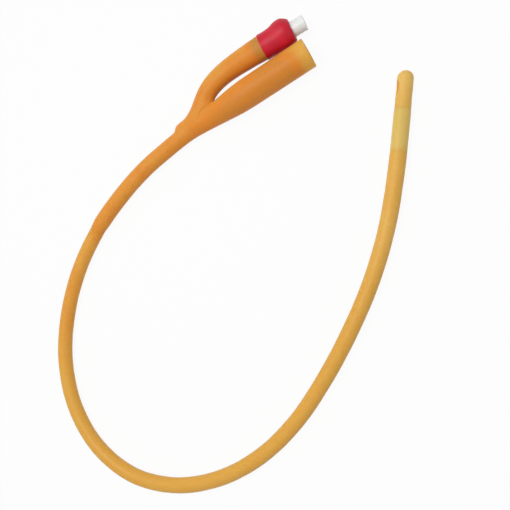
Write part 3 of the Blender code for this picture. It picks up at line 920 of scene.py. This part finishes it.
class CATHETER_OT_tip(bpy.types.Operator):
    """Add the rounded tip with its drainage eyes, whose edges are polished round"""

    bl_idname = "catheter.tip"
    bl_label = "Eyed tip"

    OVERLAP = 0.0006
    SPACING = 0.0006
    SIDES = 48
    DOME_STEPS = 12
    NOSE_WALL = 0.0026
    LUMEN_CONE = 0.0008
    LUMEN_SPARE = 0.001
    GRAIN = 0.00013
    SMOOTHING = 5
    NECK_TONE = (0.002, 0.010)

    # Each eye's place along the tip and its angle round it
    EYE_RISE = radians(22)
    EYES = ((0.0063, pi - EYE_RISE), (0.0096, -EYE_RISE))
    EYE_LENGTH = 0.0050
    EYE_WIDTH = 0.0025
    EYE_SIDES = 36

    # An eye's cutter: the distance out from the tip's axis, and its size there
    EYE_FLARE = ((0.0, 1.0), (0.0021, 1.0), (0.0028, 1.10), (0.0040, 1.20))

    def execute(self, context):
        size = sizes()
        shaft = Route(SHAFT_ROUTE)
        radius = (size.shaft_diameter - size.tip_reduction) / 2
        height = size.shaft_diameter / 2
        end = size.tip_section + self.OVERLAP
        turns = [pi / 2 * step / self.DOME_STEPS for step in range(self.DOME_STEPS)]
        profile = [(radius * (1 - cos(turn)), radius * sin(turn)) for turn in turns]
        profile += [(at, radius) for at in spread(radius, end, self.SPACING)]
        tip = new_piece("eyed_tip", self.sweep(shaft, profile, height))
        lumen = LUMEN_DIAMETER / 2
        hollow = [(self.NOSE_WALL, self.LUMEN_CONE), (self.NOSE_WALL + self.LUMEN_CONE, lumen)]
        hollow += [(end + self.LUMEN_SPARE, lumen)]
        cutters = [new_piece("tip_lumen", self.sweep(shaft, hollow, height))]
        cutters += [self.eye(shaft, *eye, height) for eye in self.EYES]
        combine(tip, "DIFFERENCE", *cutters)
        remesh(tip, self.GRAIN, self.SMOOTHING)
        nose, _ = shaft.at(0.0)
        back = [(point.co.xy - nose).length for point in tip.data.vertices]
        tones = [ramp(at, *self.NECK_TONE) for at in back]
        keep_paleness(tip, [between(NOSE_PALENESS, NECK_PALENESS, tone) for tone in tones])
        tip.data.materials.append(latex_material("tip_latex"))
        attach(tip, "catheter")
        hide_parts("catheter_body")
        return {"FINISHED"}

    def sweep(self, shaft, profile, height):
        """A form along the shaft from (distance, radius) pairs."""
        rings = []
        for distance, radius in profile:
            place, left = shaft.at(distance)
            if radius == 0.0:
                rings.append([Vector((place.x, place.y, height))])
            else:
                rings.append(upright_ring(place, height, left, radius, self.SIDES))
        return skinned(rings)

    def eye(self, shaft, distance, angle, height):
        """An oval cutter out through the skin at an angle round the shaft, flared a little."""
        place, left = shaft.at(distance)
        middle = Vector((place.x, place.y, height))
        forward = Vector((left.y, -left.x, 0))
        side = Vector((left.x, left.y, 0))
        up = Vector((0, 0, 1))
        outward = side * cos(angle) + up * sin(angle)
        across = up * cos(angle) - side * sin(angle)
        rings = []
        for out, flare in self.EYE_FLARE:
            ring = []
            for turn in ring_angles(self.EYE_SIDES):
                along = forward * (self.EYE_LENGTH / 2 * flare * cos(turn))
                wide = across * (self.EYE_WIDTH / 2 * flare * sin(turn))
                ring.append(middle + outward * out + along + wide)
            rings.append(ring)
        return new_piece("eye_cutter", skinned(rings))


class CATHETER_OT_balloon(bpy.types.Operator):
    """Add the empty balloon sleeve, with shallow folds and bonded ends"""

    bl_idname = "catheter.balloon"
    bl_label = "Balloon"

    OVERLAP = 0.0010
    SPACING = 0.00035
    SIDES = 90
    RAMP = 0.0028
    FRONT_TUCK = 0.00006
    BACK_TUCK = 0.00002
    INSET = 0.0003
    HARD_EDGE = radians(50)

    # The rounded edge at the back
    EDGE = 0.00045
    EDGE_DROP = 0.00015
    EDGE_STEPS = 6

    # The folds run along the sleeve with a slow twist, in radians to the metre, and are not
    # quite even
    FOLDS = 9
    FOLD_DEPTH = 0.00006
    FOLD_TWIST = 90
    FOLD_DRIFT = 0.8

    def execute(self, context):
        size = sizes()
        shaft = Route(SHAFT_ROUTE)
        start = size.tip_section - self.OVERLAP
        end = size.tip_section + size.balloon_length + self.EDGE / 2
        height = size.shaft_diameter / 2
        tip = (size.shaft_diameter - size.tip_reduction) / 2
        stations = self.stations(start, end)
        rings = []
        shares = []
        for distance, drop in stations:
            place, left = shaft.at(distance)
            front = ramp(distance, start, self.RAMP)
            back = smooth_step((end - distance) / self.RAMP)
            radius = between(tip - self.FRONT_TUCK, height - self.BACK_TUCK, front) - drop
            fold = self.fold(distance * self.FOLD_TWIST, self.FOLD_DEPTH * (front * back))
            rings.append(upright_ring(place, height, left, radius, self.SIDES, fold))
            pale = between(SLEEVE_END_PALENESS, SLEEVE_PALENESS, back)
            shares += [between(SLEEVE_START_PALENESS, pale, front)] * self.SIDES
        for distance, _ in reversed(stations):
            place, left = shaft.at(distance)
            rings.append(upright_ring(place, height, left, tip - self.INSET, self.SIDES))
            shares += [SLEEVE_PALENESS] * self.SIDES
        sleeve = new_piece("balloon_sleeve", skinned(rings, closed=True))
        sleeve.data.set_sharp_from_angle(angle=self.HARD_EDGE)
        keep_paleness(sleeve, shares)
        sleeve.data.materials.append(latex_material("balloon_latex", roughness=0.36))
        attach(sleeve, "catheter")
        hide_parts("balloon")
        return {"FINISHED"}

    def stations(self, start, end):
        """(distance, drop) pairs, where the drop rounds the back edge."""
        pairs = [(distance, 0.0) for distance in spread(start, end - self.EDGE, self.SPACING)]
        for step in range(1, self.EDGE_STEPS + 1):
            turn = pi / 2 * step / self.EDGE_STEPS
            distance = end - self.EDGE * (1 - sin(turn))
            pairs.append((distance, self.EDGE_DROP * (1 - cos(turn))))
        return pairs

    def fold(self, twist, depth):
        """What the folds take off the radius at each angle."""

        def ripple(angle):
            wave = sin(self.FOLDS * angle + twist + self.FOLD_DRIFT * sin(2 * angle))
            return -depth * (0.5 + 0.5 * wave)

        return ripple


class Limb:
    """One limb of the Y as rows of middles, directions and radii, to measure points from."""

    POINTS_AT_ONCE = 4000

    def __init__(self, rows):
        self.middles = np.array([row[0] for row in rows])
        self.ways = np.gradient(self.middles, axis=0)
        self.ways /= np.linalg.norm(self.ways, axis=1)[:, None]
        self.radii = np.array([row[1] for row in rows])

    def measure(self, points):
        """How far each point lies outside the limb's skin, and the way out from its axis.
        The limb starts with a round end."""
        gaps = np.empty(len(points))
        outs = np.empty_like(points)
        for first in range(0, len(points), self.POINTS_AT_ONCE):
            part = slice(first, first + self.POINTS_AT_ONCE)
            delta = points[part, None, :] - self.middles[None, :, :]
            nearest = np.argmin(np.einsum("ijk,ijk->ij", delta, delta), axis=1)
            offset = points[part] - self.middles[nearest]
            along = np.einsum("ij,ij->i", offset, self.ways[nearest])
            along[(nearest == 0) & (along < 0)] = 0.0
            offset = offset - along[:, None] * self.ways[nearest]
            reach = np.linalg.norm(offset, axis=1)
            gaps[part] = reach - self.radii[nearest]
            outs[part] = offset / np.maximum(reach, TINY)[:, None]
        return gaps, outs


class CATHETER_OT_connector(bpy.types.Operator):
    """Add the thicker root, the Y, the drain funnel and the inflation arm as one skin"""

    bl_idname = "catheter.connector"
    bl_label = "Y connector"

    SWEEP_SPACING = 0.0011
    SWEEP_SIDES = 48
    CAP_STEPS = 8
    SMOOTHING = 2
    HARD_EDGE = radians(50)

    # The root grows out of the shaft, the arm starts inside the root, and the funnel is swept
    # past its mouth
    ROOT_FADE = 0.0042
    ROOT_TUCK = 0.00007
    ARM_START = 0.0033
    FUNNEL_SPARE = 0.0020

    # Fitting the skin to the limbs: their rows, the rounds, and how far a point may move
    FIT_SPACING = 0.0003
    PASSES = 3
    REACH = 0.0018

    # The funnel's rim, whose outer arc ends at this angle in degrees, its bore, and the socket
    # for the valve
    RIM_ROUNDING = 0.00035
    RIM_STEPS = 6
    RIM_END = 84
    MOUTH_SIDES = 96
    BORE_TAPER = 0.0003
    BORE_DEPTH = 0.0240
    BORE_OVERLAP = 0.0005
    BORE_SPACING = 0.0012
    BORE_SIDES = 64
    LUMEN_START = 0.0520
    LUMEN_OVERLAP = 0.004
    SOCKET_DIAMETER = 0.0066
    SOCKET_POINT = -0.0040
    SOCKET_START = -0.0006
    SOCKET_SIDES = 48

    # Back from the mouth: where the arm's shoulder starts and ends, where the crotch does, and
    # where the slit between the limbs is sharp. The blend's shares: all along, added over the
    # crotch, and added from the shoulder on.
    SHOULDER = (0.0620, 0.0540)
    CROTCH = (0.0500, 0.0385)
    SLIT = 0.0340
    NARROW_BLEND = 0.45
    CROTCH_BLEND = 0.90
    SHOULDER_BLEND = 0.30

    # The valley between arm and funnel is pressed in a little, above and below. Back from the
    # mouth, the crease starts, is full, fades and ends.
    CREASE = (0.0490, 0.0470, 0.0405, 0.0385)
    CREASE_DEPTH = 0.00035
    CREASE_WIDTH = 0.0011
    FACE_START = 0.0014
    FACE_RISE = 0.0012

    # Where each tone begins and the length over which it comes in: to the arm's side of the
    # funnel's axis, back from the mouth, forward to the mouth, and out from the cuff's edge.
    # The lit sides carry painted light and the far side painted shade, and the band beside the
    # cuff is a painted shadow of the cuff
    LIT_SIDE = (-0.002, 0.006)
    ARM_SIDE = (0.004, 0.006)
    LIT_ARM_SIDE = (0.009, 0.007)
    ROOT_BACK = (0.035, 0.03)
    # The painted shadow of the cuff on the funnel: where it starts back from the mouth, and where
    # it ends forward towards the mouth
    CUFF_SHADOW_BACK = (0.008, 0.004)
    CUFF_SHADOW_FORWARD = (-0.026, 0.008)
    MOUTH_FORWARD = (-0.0095, 0.0095)
    CUFF_OUT = (-0.0065, 0.0050)

    # Tones on the Y: the funnel's far side is browner with painted shade, the lit sides of the
    # funnel and the arm are paler with painted light, beside the cuff the funnel carries a
    # painted shadow of the cuff, and the arm turns browner towards the cuff
    FUNNEL_PALENESS = -0.15
    LIT_FUNNEL_PALENESS = 0.14
    CUFF_SHADOW_PALENESS = -0.22
    MOUTH_PALENESS = 0.55
    ARM_PALENESS = 0.10
    LIT_ARM_PALENESS = 0.26
    ARM_END_PALENESS = -0.42

    def execute(self, context):
        shaft = Route(SHAFT_ROUTE)
        arm = arm_route()
        trunk_rows = self.root_rows(shaft, self.SWEEP_SPACING)
        arm_rows = self.arm_cap(arm) + self.arm_rows(arm, self.SWEEP_SPACING)
        body = new_piece("y_connector", self.sweep(trunk_rows))
        combine(body, "UNION", new_piece("branch", self.sweep(arm_rows)))
        remesh(body, sizes().skin_grain, self.SMOOTHING)
        trunk = Limb(self.root_rows(shaft, self.FIT_SPACING))
        self.fit_skin(body, trunk, Limb(self.arm_rows(arm, self.FIT_SPACING)))
        cutters = (self.mouth_cutter(), self.bore_cutter(shaft), self.socket_cutter())
        combine(body, "DIFFERENCE", *cutters)
        body.data.set_sharp_from_angle(angle=self.HARD_EDGE)
        edge = port_point(0.0).x
        keep_paleness(body, [self.paleness(point.co, edge) for point in body.data.vertices])
        body.data.materials.append(latex_material("connector_latex", roughness=0.46))
        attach(body, "catheter")
        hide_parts("catheter_body")
        return {"FINISHED"}

    def root_rows(self, shaft, spacing):
        """(middle, radius) pairs from the root's rounded start to past the funnel's mouth."""
        begin = shaft.length - sizes().root_length
        thin = sizes().shaft_diameter / 2 - self.ROOT_TUCK
        rows = []
        for distance in spread(begin - self.ROOT_FADE, shaft.length + self.FUNNEL_SPARE, spacing):
            place, _ = shaft.at(distance)
            height = shaft_height(shaft, distance)
            radius = root_radius(shaft, distance)
            if distance < begin + self.ROOT_FADE / 2:
                share = smooth_step((distance - begin + self.ROOT_FADE) / (1.5 * self.ROOT_FADE))
                radius = between(thin, root_diameter() / 2, share)
            rows.append((Vector((place.x, place.y, height)), radius))
        return rows

    def arm_rows(self, arm, spacing):
        """(middle, radius) pairs up the inflation arm."""
        rows = []
        for distance in spread(self.ARM_START, arm.length, spacing):
            place, _ = arm.at(distance)
            middle = Vector((place.x, place.y, arm_height(arm, distance)))
            rows.append((middle, arm_radius(arm, distance)))
        return rows

    def arm_cap(self, arm):
        """The arm's round start, behind its first row."""
        radius = arm_radius(arm, self.ARM_START)
        height = arm_height(arm, self.ARM_START)
        rows = []
        for step in range(1, self.CAP_STEPS):
            turn = pi / 2 * step / self.CAP_STEPS
            place, _ = arm.at(self.ARM_START - radius * cos(turn))
            rows.append((Vector((place.x, place.y, height)), radius * sin(turn)))
        return rows

    def sweep(self, rows):
        rings = []
        for index, (middle, radius) in enumerate(rows):
            before = rows[max(index - 1, 0)][0]
            after = rows[min(index + 1, len(rows) - 1)][0]
            forward = (after - before).xy.normalized()
            left = Vector((-forward.y, forward.x))
            rings.append(upright_ring(middle.xy, middle.z, left, radius, self.SWEEP_SIDES))
        return skinned(rings)

    def fit_skin(self, body, trunk, branch):
        """Moves the skin's points onto the two limbs, with a soft valley where they meet."""
        mesh = body.data
        points = np.empty(len(mesh.vertices) * 3)
        mesh.vertices.foreach_get("co", points)
        points = points.reshape(-1, 3)
        for _ in range(self.PASSES):
            from_trunk, out_trunk = trunk.measure(points)
            from_branch, out_branch = branch.measure(points)
            width = self.blend_width(MOUTH.x - points[:, 0])
            nearness = np.clip(width - np.abs(from_trunk - from_branch), 0.0, None) / width
            gap = np.minimum(from_trunk, from_branch) - nearness**2 * width / 4
            gap += self.crease(points, from_trunk - from_branch)
            lean = np.clip(0.5 + 0.5 * (from_branch - from_trunk) / width, 0.0, 1.0)[:, None]
            way = out_trunk * lean + out_branch * (1 - lean)
            way /= np.maximum(np.linalg.norm(way, axis=1), TINY)[:, None]
            gap[np.abs(gap) > self.REACH] = 0.0
            points -= way * gap[:, None]
        points[:, 2] = np.maximum(points[:, 2], CAD_BOX[0].z)
        mesh.vertices.foreach_set("co", points.reshape(-1))
        mesh.update()

    def crease(self, points, lean):
        """How deep the valley between arm and funnel is pressed in, above and below."""
        back = MOUTH.x - points[:, 0]
        start, full, fading, end = self.CREASE
        zone = np.clip((start - back) / (start - full), 0, 1)
        zone *= np.clip((back - end) / (fading - end), 0, 1)
        height = (sizes().shaft_diameter + sizes().funnel_diameter) / 4
        face = np.clip((np.abs(points[:, 2] - height) - self.FACE_START) / self.FACE_RISE, 0, 1)
        valley = np.clip(1 - np.abs(lean) / self.CREASE_WIDTH, 0, 1)
        return self.CREASE_DEPTH * zone * face * valley**2

    def blend_width(self, back):
        """How widely the limbs blend: narrow at the shoulder where the arm starts, wide over
        the crotch, and narrow again in the slit between the limbs."""
        grown = np.clip((self.SHOULDER[0] - back) / (self.SHOULDER[0] - self.SHOULDER[1]), 0, 1)
        shrunk = np.clip((back - self.CROTCH[1]) / (self.CROTCH[0] - self.CROTCH[1]), 0, 1)
        crotch = np.clip((self.SHOULDER[1] - back) / (self.SHOULDER[1] - self.CROTCH[0]), 0, 1)
        crotch *= np.clip((back - self.SLIT) / (self.CROTCH[1] - self.SLIT), 0, 1)
        share = self.NARROW_BLEND + self.CROTCH_BLEND * crotch
        share += self.SHOULDER_BLEND * grown * shrunk
        return sizes().crotch_blend * share

    def mouth_cutter(self):
        """Cuts the funnel off square with a rounded rim, and its tapered bore."""
        size = sizes()
        outer = size.funnel_diameter / 2
        inner = outer - size.funnel_wall
        soft = self.RIM_ROUNDING
        beyond = 2 * self.FUNNEL_SPARE
        profile = [(-self.BORE_DEPTH, 0.0), (-self.BORE_DEPTH, inner - self.BORE_TAPER)]
        profile += arc((-soft, inner + soft), soft, -90, 0, self.RIM_STEPS)
        profile += arc((-soft, outer - soft), soft, 0, self.RIM_END, self.RIM_STEPS)
        profile += [(-soft, outer + RUN_OUT), (beyond, outer + RUN_OUT), (beyond, 0.0)]
        place = Matrix.Translation((MOUTH.x, MOUTH.y, outer))
        return new_piece("mouth_cutter", skinned(axis_rings(profile, self.MOUTH_SIDES)), place)

    def bore_cutter(self, shaft):
        """The bore behind the funnel's straight part, down to the lumen."""
        size = sizes()
        wide = size.funnel_diameter / 2 - size.funnel_wall - self.BORE_TAPER
        nearest = self.BORE_DEPTH - self.BORE_OVERLAP
        furthest = self.LUMEN_START + self.LUMEN_OVERLAP
        rings = []
        for back in reversed(spread(nearest, furthest, self.BORE_SPACING)):
            place, left = shaft.at(shaft.length - back)
            share = smooth_step((self.LUMEN_START - back) / (self.LUMEN_START - self.BORE_DEPTH))
            radius = between(LUMEN_DIAMETER / 2, wide, share)
            height = shaft_height(shaft, shaft.length - back)
            rings.append(upright_ring(place, height, left, radius, self.BORE_SIDES))
        return new_piece("bore_cutter", skinned(rings))

    def socket_cutter(self):
        """The socket that the valve is pressed into, with a pointed end."""
        radius = self.SOCKET_DIAMETER / 2
        end = NECK_LENGTH + RUN_OUT
        profile = [(self.SOCKET_POINT, 0.0), (self.SOCKET_START, radius)]
        profile += [(end, radius), (end, 0.0)]
        shape = skinned(axis_rings(profile, self.SOCKET_SIDES))
        return new_piece("socket_cutter", shape, port_matrix())

    def paleness(self, point, cuff_edge):
        """The root is orange. The arm is browner at the cuff, and the funnel beside the cuff
        carries a painted shadow of it. The sides towards the lamps are paler with painted light
        and the funnel's far side is browner with painted shade. The funnel is paler at its mouth."""
        forward = point.x - MOUTH.x
        side = point.y - MOUTH.y
        out = point.x - cuff_edge
        # The funnel's lit side darkens beside the cuff with a painted shadow of the cuff
        cuff_shadow = ramp(-forward, *self.CUFF_SHADOW_BACK) * ramp(forward, *self.CUFF_SHADOW_FORWARD)
        lit = between(self.LIT_FUNNEL_PALENESS, self.CUFF_SHADOW_PALENESS, cuff_shadow)
        # The funnel goes from painted shade on its far side to painted light on the arm's side
        funnel = between(self.FUNNEL_PALENESS, lit, ramp(side, *self.LIT_SIDE))
        funnel = between(funnel, self.MOUTH_PALENESS, ramp(forward, *self.MOUTH_FORWARD))
        # The arm is paler on its outer side with painted light
        arm = between(self.ARM_PALENESS, self.LIT_ARM_PALENESS, ramp(side, *self.LIT_ARM_SIDE))
        arm = between(arm, self.ARM_END_PALENESS, ramp(out, *self.CUFF_OUT))
        limb = between(funnel, arm, ramp(side, *self.ARM_SIDE))
        return between(limb, ROOT_PALENESS, ramp(-forward, *self.ROOT_BACK))


class CATHETER_OT_cuff(bpy.types.Operator):
    """Add the dipped red cuff, with a rolled edge and a swollen end"""

    bl_idname = "catheter.cuff"
    bl_label = "Cuff"

    # Radii of the outside, of the dome's flat top and of the hub's hole in it
    RADIUS = 0.0050
    CROWN = 0.0038
    HOLE = 0.0031

    # The swelling and the waist add to the radius and take from it
    SWELLING = 0.0009
    SWELLING_START = 0.0042
    SWELLING_PEAK = 0.0084
    WAIST = 0.00012

    WALL = 0.00032
    SEAT = 0.0003
    DOME_LENGTH = 0.0032
    DOME_STEPS = 16
    ROUNDING = 0.0003
    SPACING = 0.0004
    SIDES = 112
    HARD_EDGE = radians(60)

    def swelling(self, along, angle):
        """The cuff swells near its end, most on the side away from the funnel, and has a
        slight waist before that."""
        away = (1 + cos(angle)) / 2
        rise = ramp(along, self.SWELLING_START, self.SWELLING_PEAK - self.SWELLING_START)
        fall = smooth_step((CUFF_END - along) / self.DOME_LENGTH)
        waist = sin(pi * min(max(along / self.SWELLING_START, 0.0), 1.0))
        return self.SWELLING * away * rise * fall - self.WAIST * waist

    def outside(self):
        """(along, radius) pairs from the rolled edge over the dome to the hub's hole."""
        dome = CUFF_END - self.DOME_LENGTH
        lip = self.WALL / 2
        pairs = arc((lip, self.RADIUS - lip), lip, 180, 90, steps=6)
        pairs += [(at, self.RADIUS) for at in spread(lip + self.SPACING, dome, self.SPACING)]
        for step in range(1, self.DOME_STEPS + 1):
            turn = pi / 2 * step / self.DOME_STEPS
            along = between(dome, CUFF_END, sin(turn))
            pairs.append((along, between(self.CROWN, self.RADIUS, cos(turn))))
        soft = self.ROUNDING
        return pairs + arc((CUFF_END - soft, self.HOLE + soft), soft, 0, -90, steps=5)

    def inside(self):
        """(along, radius) pairs back past the valve's flange and the arm's neck."""
        inner = self.RADIUS - self.WALL
        seat = FLANGE_END + self.SEAT
        return [(seat, self.HOLE), (seat, inner - self.SEAT), (NECK_LENGTH, inner), (0.0, inner)]

    def execute(self, context):
        rings = axis_rings(self.outside(), self.SIDES, self.swelling)
        rings += axis_rings(self.inside(), self.SIDES)
        cuff = new_piece("cuff_shell", skinned(rings, closed=True), port_matrix())
        cuff.data.set_sharp_from_angle(angle=self.HARD_EDGE)
        rubber = plastic_material(
            "dipped_rubber",
            colours().red_rubber,
            roughness=0.46,
            unevenness=0.10,
            Subsurface_Weight=0.06,
            Subsurface_Radius=(1.0, 0.2, 0.2),
            Subsurface_Scale=0.001,
            Specular_IOR_Level=0.30,
        )
        cuff.data.materials.append(rubber)
        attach(cuff, "catheter")
        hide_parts("colour_cuff")
        return {"FINISHED"}


class CATHETER_OT_valve(bpy.types.Operator):
    """Add the moulded valve housing with its luer hub, and finish the valve's inner pieces"""

    bl_idname = "catheter.valve"
    bl_label = "Valve"

    # Radii of the housing, outside and then inside
    TAIL = 0.0027
    BARB = 0.0030
    FLANGE = 0.0041
    HUB_BASE = 0.00295
    HUB_RADIUS = 0.0028
    LUER = 0.00215
    LUER_FLOOR = 0.001925
    THROAT = 0.0013
    CHAMBER = 0.0021
    LIP = 0.0016

    # Lengths along it, and the roundings of the hub's rims
    BARB_LAND = 0.0001
    BARB_BACK = 0.00015
    WEB = 0.0010
    TAIL_LIP = 0.0006
    RIM_ROUNDING = 0.0002
    LUER_ROUNDING = 0.0001

    # The hub's collar: where it starts and is full, back from the hub's end, and its rises
    COLLAR_START = 0.0011
    COLLAR_FULL = 0.0010
    COLLAR_FOOT = 0.00002
    COLLAR = 0.00008

    BARB_COUNT = 3
    SIDES = 72
    HARD_EDGE = radians(40)

    # Node, material, colour, roughness and unevenness of the pieces inside
    INNER_PIECES = (
        ("valve_stem", "milky_moulding", (0.66, 0.74, 0.76), 0.32, 0.03),
        ("valve_retainer", "ring_moulding", (0.76, 0.78, 0.77), 0.38, 0.03),
        ("valve_seal", "black_seal", (0.03, 0.03, 0.03), 0.55, 0.15),
    )

    def execute(self, context):
        profile = self.tail() + self.hub() + self.hollow()
        shape = skinned(axis_rings(profile, self.SIDES), closed=True)
        housing = new_piece("luer_housing", shape, port_matrix())
        housing.data.set_sharp_from_angle(angle=self.HARD_EDGE)
        white = plastic_material(
            "white_moulding",
            colours().white_plastic,
            roughness=0.34,
            unevenness=0.02,
            Subsurface_Weight=0.35,
            Subsurface_Radius=(1.0, 1.0, 0.9),
            Subsurface_Scale=0.0015,
        )
        housing.data.materials.append(white)
        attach(housing, "catheter")
        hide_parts("valve_housing")
        for node, *finish in self.INNER_PIECES:
            material = plastic_material(*finish)
            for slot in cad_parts[node].material_slots:
                slot.material = material
        return {"FINISHED"}

    def tail(self):
        """(along, radius) pairs of the barbed tail in the arm's socket."""
        pairs = [(0.0, self.TAIL)]
        for count in range(1, self.BARB_COUNT + 1):
            crest = FLANGE_START * count / (self.BARB_COUNT + 1)
            pairs += [(crest - self.BARB_LAND, self.BARB), (crest, self.BARB)]
            pairs += [(crest + self.BARB_BACK, self.TAIL)]
        return [*pairs, (FLANGE_START, self.TAIL)]

    def hub(self):
        """(along, radius) pairs of the flange and the hub, with a low collar and round rims."""
        collar = self.HUB_RADIUS + self.COLLAR
        rim = self.RIM_ROUNDING
        soft = self.LUER_ROUNDING
        pairs = [(FLANGE_START, self.FLANGE), (FLANGE_END, self.FLANGE)]
        pairs += [(FLANGE_END, self.HUB_BASE)]
        pairs += [(HUB_END - self.COLLAR_START, self.HUB_RADIUS + self.COLLAR_FOOT)]
        pairs += [(HUB_END - self.COLLAR_FULL, collar)]
        pairs += arc((HUB_END - rim, collar - rim), rim, 90, 0, steps=5)
        return pairs + arc((HUB_END - soft, self.LUER + soft), soft, 0, -90, steps=3)

    def hollow(self):
        """(along, radius) pairs of the luer bore, the web with its throat, and the chamber."""
        floor = WEB_TOP - self.WEB
        pairs = [(WEB_TOP, self.LUER_FLOOR), (WEB_TOP, self.THROAT)]
        pairs += [(floor, self.THROAT), (floor, self.CHAMBER)]
        return pairs + [(self.TAIL_LIP, self.CHAMBER), (self.TAIL_LIP, self.LIP), (0.0, self.LIP)]


class CATHETER_OT_spring(bpy.types.Operator):
    """Add the steel spring behind the stem, at its rest length. The real spring shortens as the
    stem is pushed in
    """

    bl_idname = "catheter.spring"
    bl_label = "Spring"

    START = 0.0022
    END = 0.0068
    RADIUS = 0.001575
    WIRE = 0.000175
    TURNS = 5
    CLOSED = 0.6
    EVENNESS = 0.75
    STEPS = 24
    SIDES = 12
    HARD_EDGE = radians(60)
    TRAVEL = 0.0015

    def coil_share(self, turns):
        """How far along the spring its wire is after these turns, with closer coils at both
        ends."""
        eased = smooth_step((turns - self.CLOSED / 2) / (self.TURNS + self.CLOSED))
        share = between(eased, (turns - self.CLOSED) / self.TURNS, self.EVENNESS)
        return min(max(share, 0.0), 1.0)

    def execute(self, context):
        low = self.START + self.WIRE
        high = self.END - self.WIRE
        rings = []
        count = round((self.TURNS + 2 * self.CLOSED) * self.STEPS)
        for step in range(count + 1):
            turns = step / self.STEPS
            turn = 2 * pi * turns
            outward = Vector((0, cos(turn), sin(turn)))
            along = between(low, high, self.coil_share(turns))
            ring = []
            for angle in ring_angles(self.SIDES):
                reach = outward * (self.RADIUS + self.WIRE * cos(angle))
                ring.append(reach + Vector((along + self.WIRE * sin(angle), 0, 0)))
            rings.append(ring)
        spring = new_piece("coil_spring", skinned(rings), port_matrix())
        spring.data.set_sharp_from_angle(angle=self.HARD_EDGE)
        steel = plastic_material("drawn_steel", (0.62, 0.62, 0.64), 0.26, 0.06, Metallic=1.0)
        spring.data.materials.append(steel)
        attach(spring, "catheter")
        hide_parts("valve_spring")
        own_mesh(spring)
        return {"FINISHED"}


class CATHETER_PT_panel(bpy.types.Panel):
    """The catheter's pieces, sizes and colours"""

    bl_label = "Catheter"
    bl_space_type = "VIEW_3D"
    bl_region_type = "UI"
    bl_category = "Catheter"

    def draw(self, context):
        for operator in OPERATORS:
            self.layout.operator(operator.bl_idname)
        for label in GROUPS:
            group = getattr(context.scene, label)
            box = self.layout.box()
            for name in group.bl_rna.properties.keys():
                if name not in ("rna_type", "name"):
                    box.prop(group, name)


GROUPS = {
    "catheter_sizes": CatheterSizes,
    "catheter_colours": CatheterColours,
    "catheter_stage": CatheterStage,
}
OPERATORS = (
    CATHETER_OT_stage,
    CATHETER_OT_tip,
    CATHETER_OT_balloon,
    CATHETER_OT_shaft,
    CATHETER_OT_connector,
    CATHETER_OT_cuff,
    CATHETER_OT_valve,
    CATHETER_OT_spring,
)


def register():
    for name, group in GROUPS.items():
        bpy.utils.register_class(group)
        setattr(bpy.types.Scene, name, bpy.props.PointerProperty(type=group))
    for kind in (*OPERATORS, CATHETER_PT_panel):
        bpy.utils.register_class(kind)


def unregister():
    for kind in reversed((*OPERATORS, CATHETER_PT_panel)):
        bpy.utils.unregister_class(kind)
    for name, group in GROUPS.items():
        delattr(bpy.types.Scene, name)
        bpy.utils.unregister_class(group)


def main():
    register()
    bpy.ops.catheter.stage()
    bpy.ops.catheter.tip()
    bpy.ops.catheter.balloon()
    bpy.ops.catheter.shaft()
    bpy.ops.catheter.connector()
    bpy.ops.catheter.cuff()
    bpy.ops.catheter.valve()
    bpy.ops.catheter.spring()


if __name__ == "__main__":
    main()
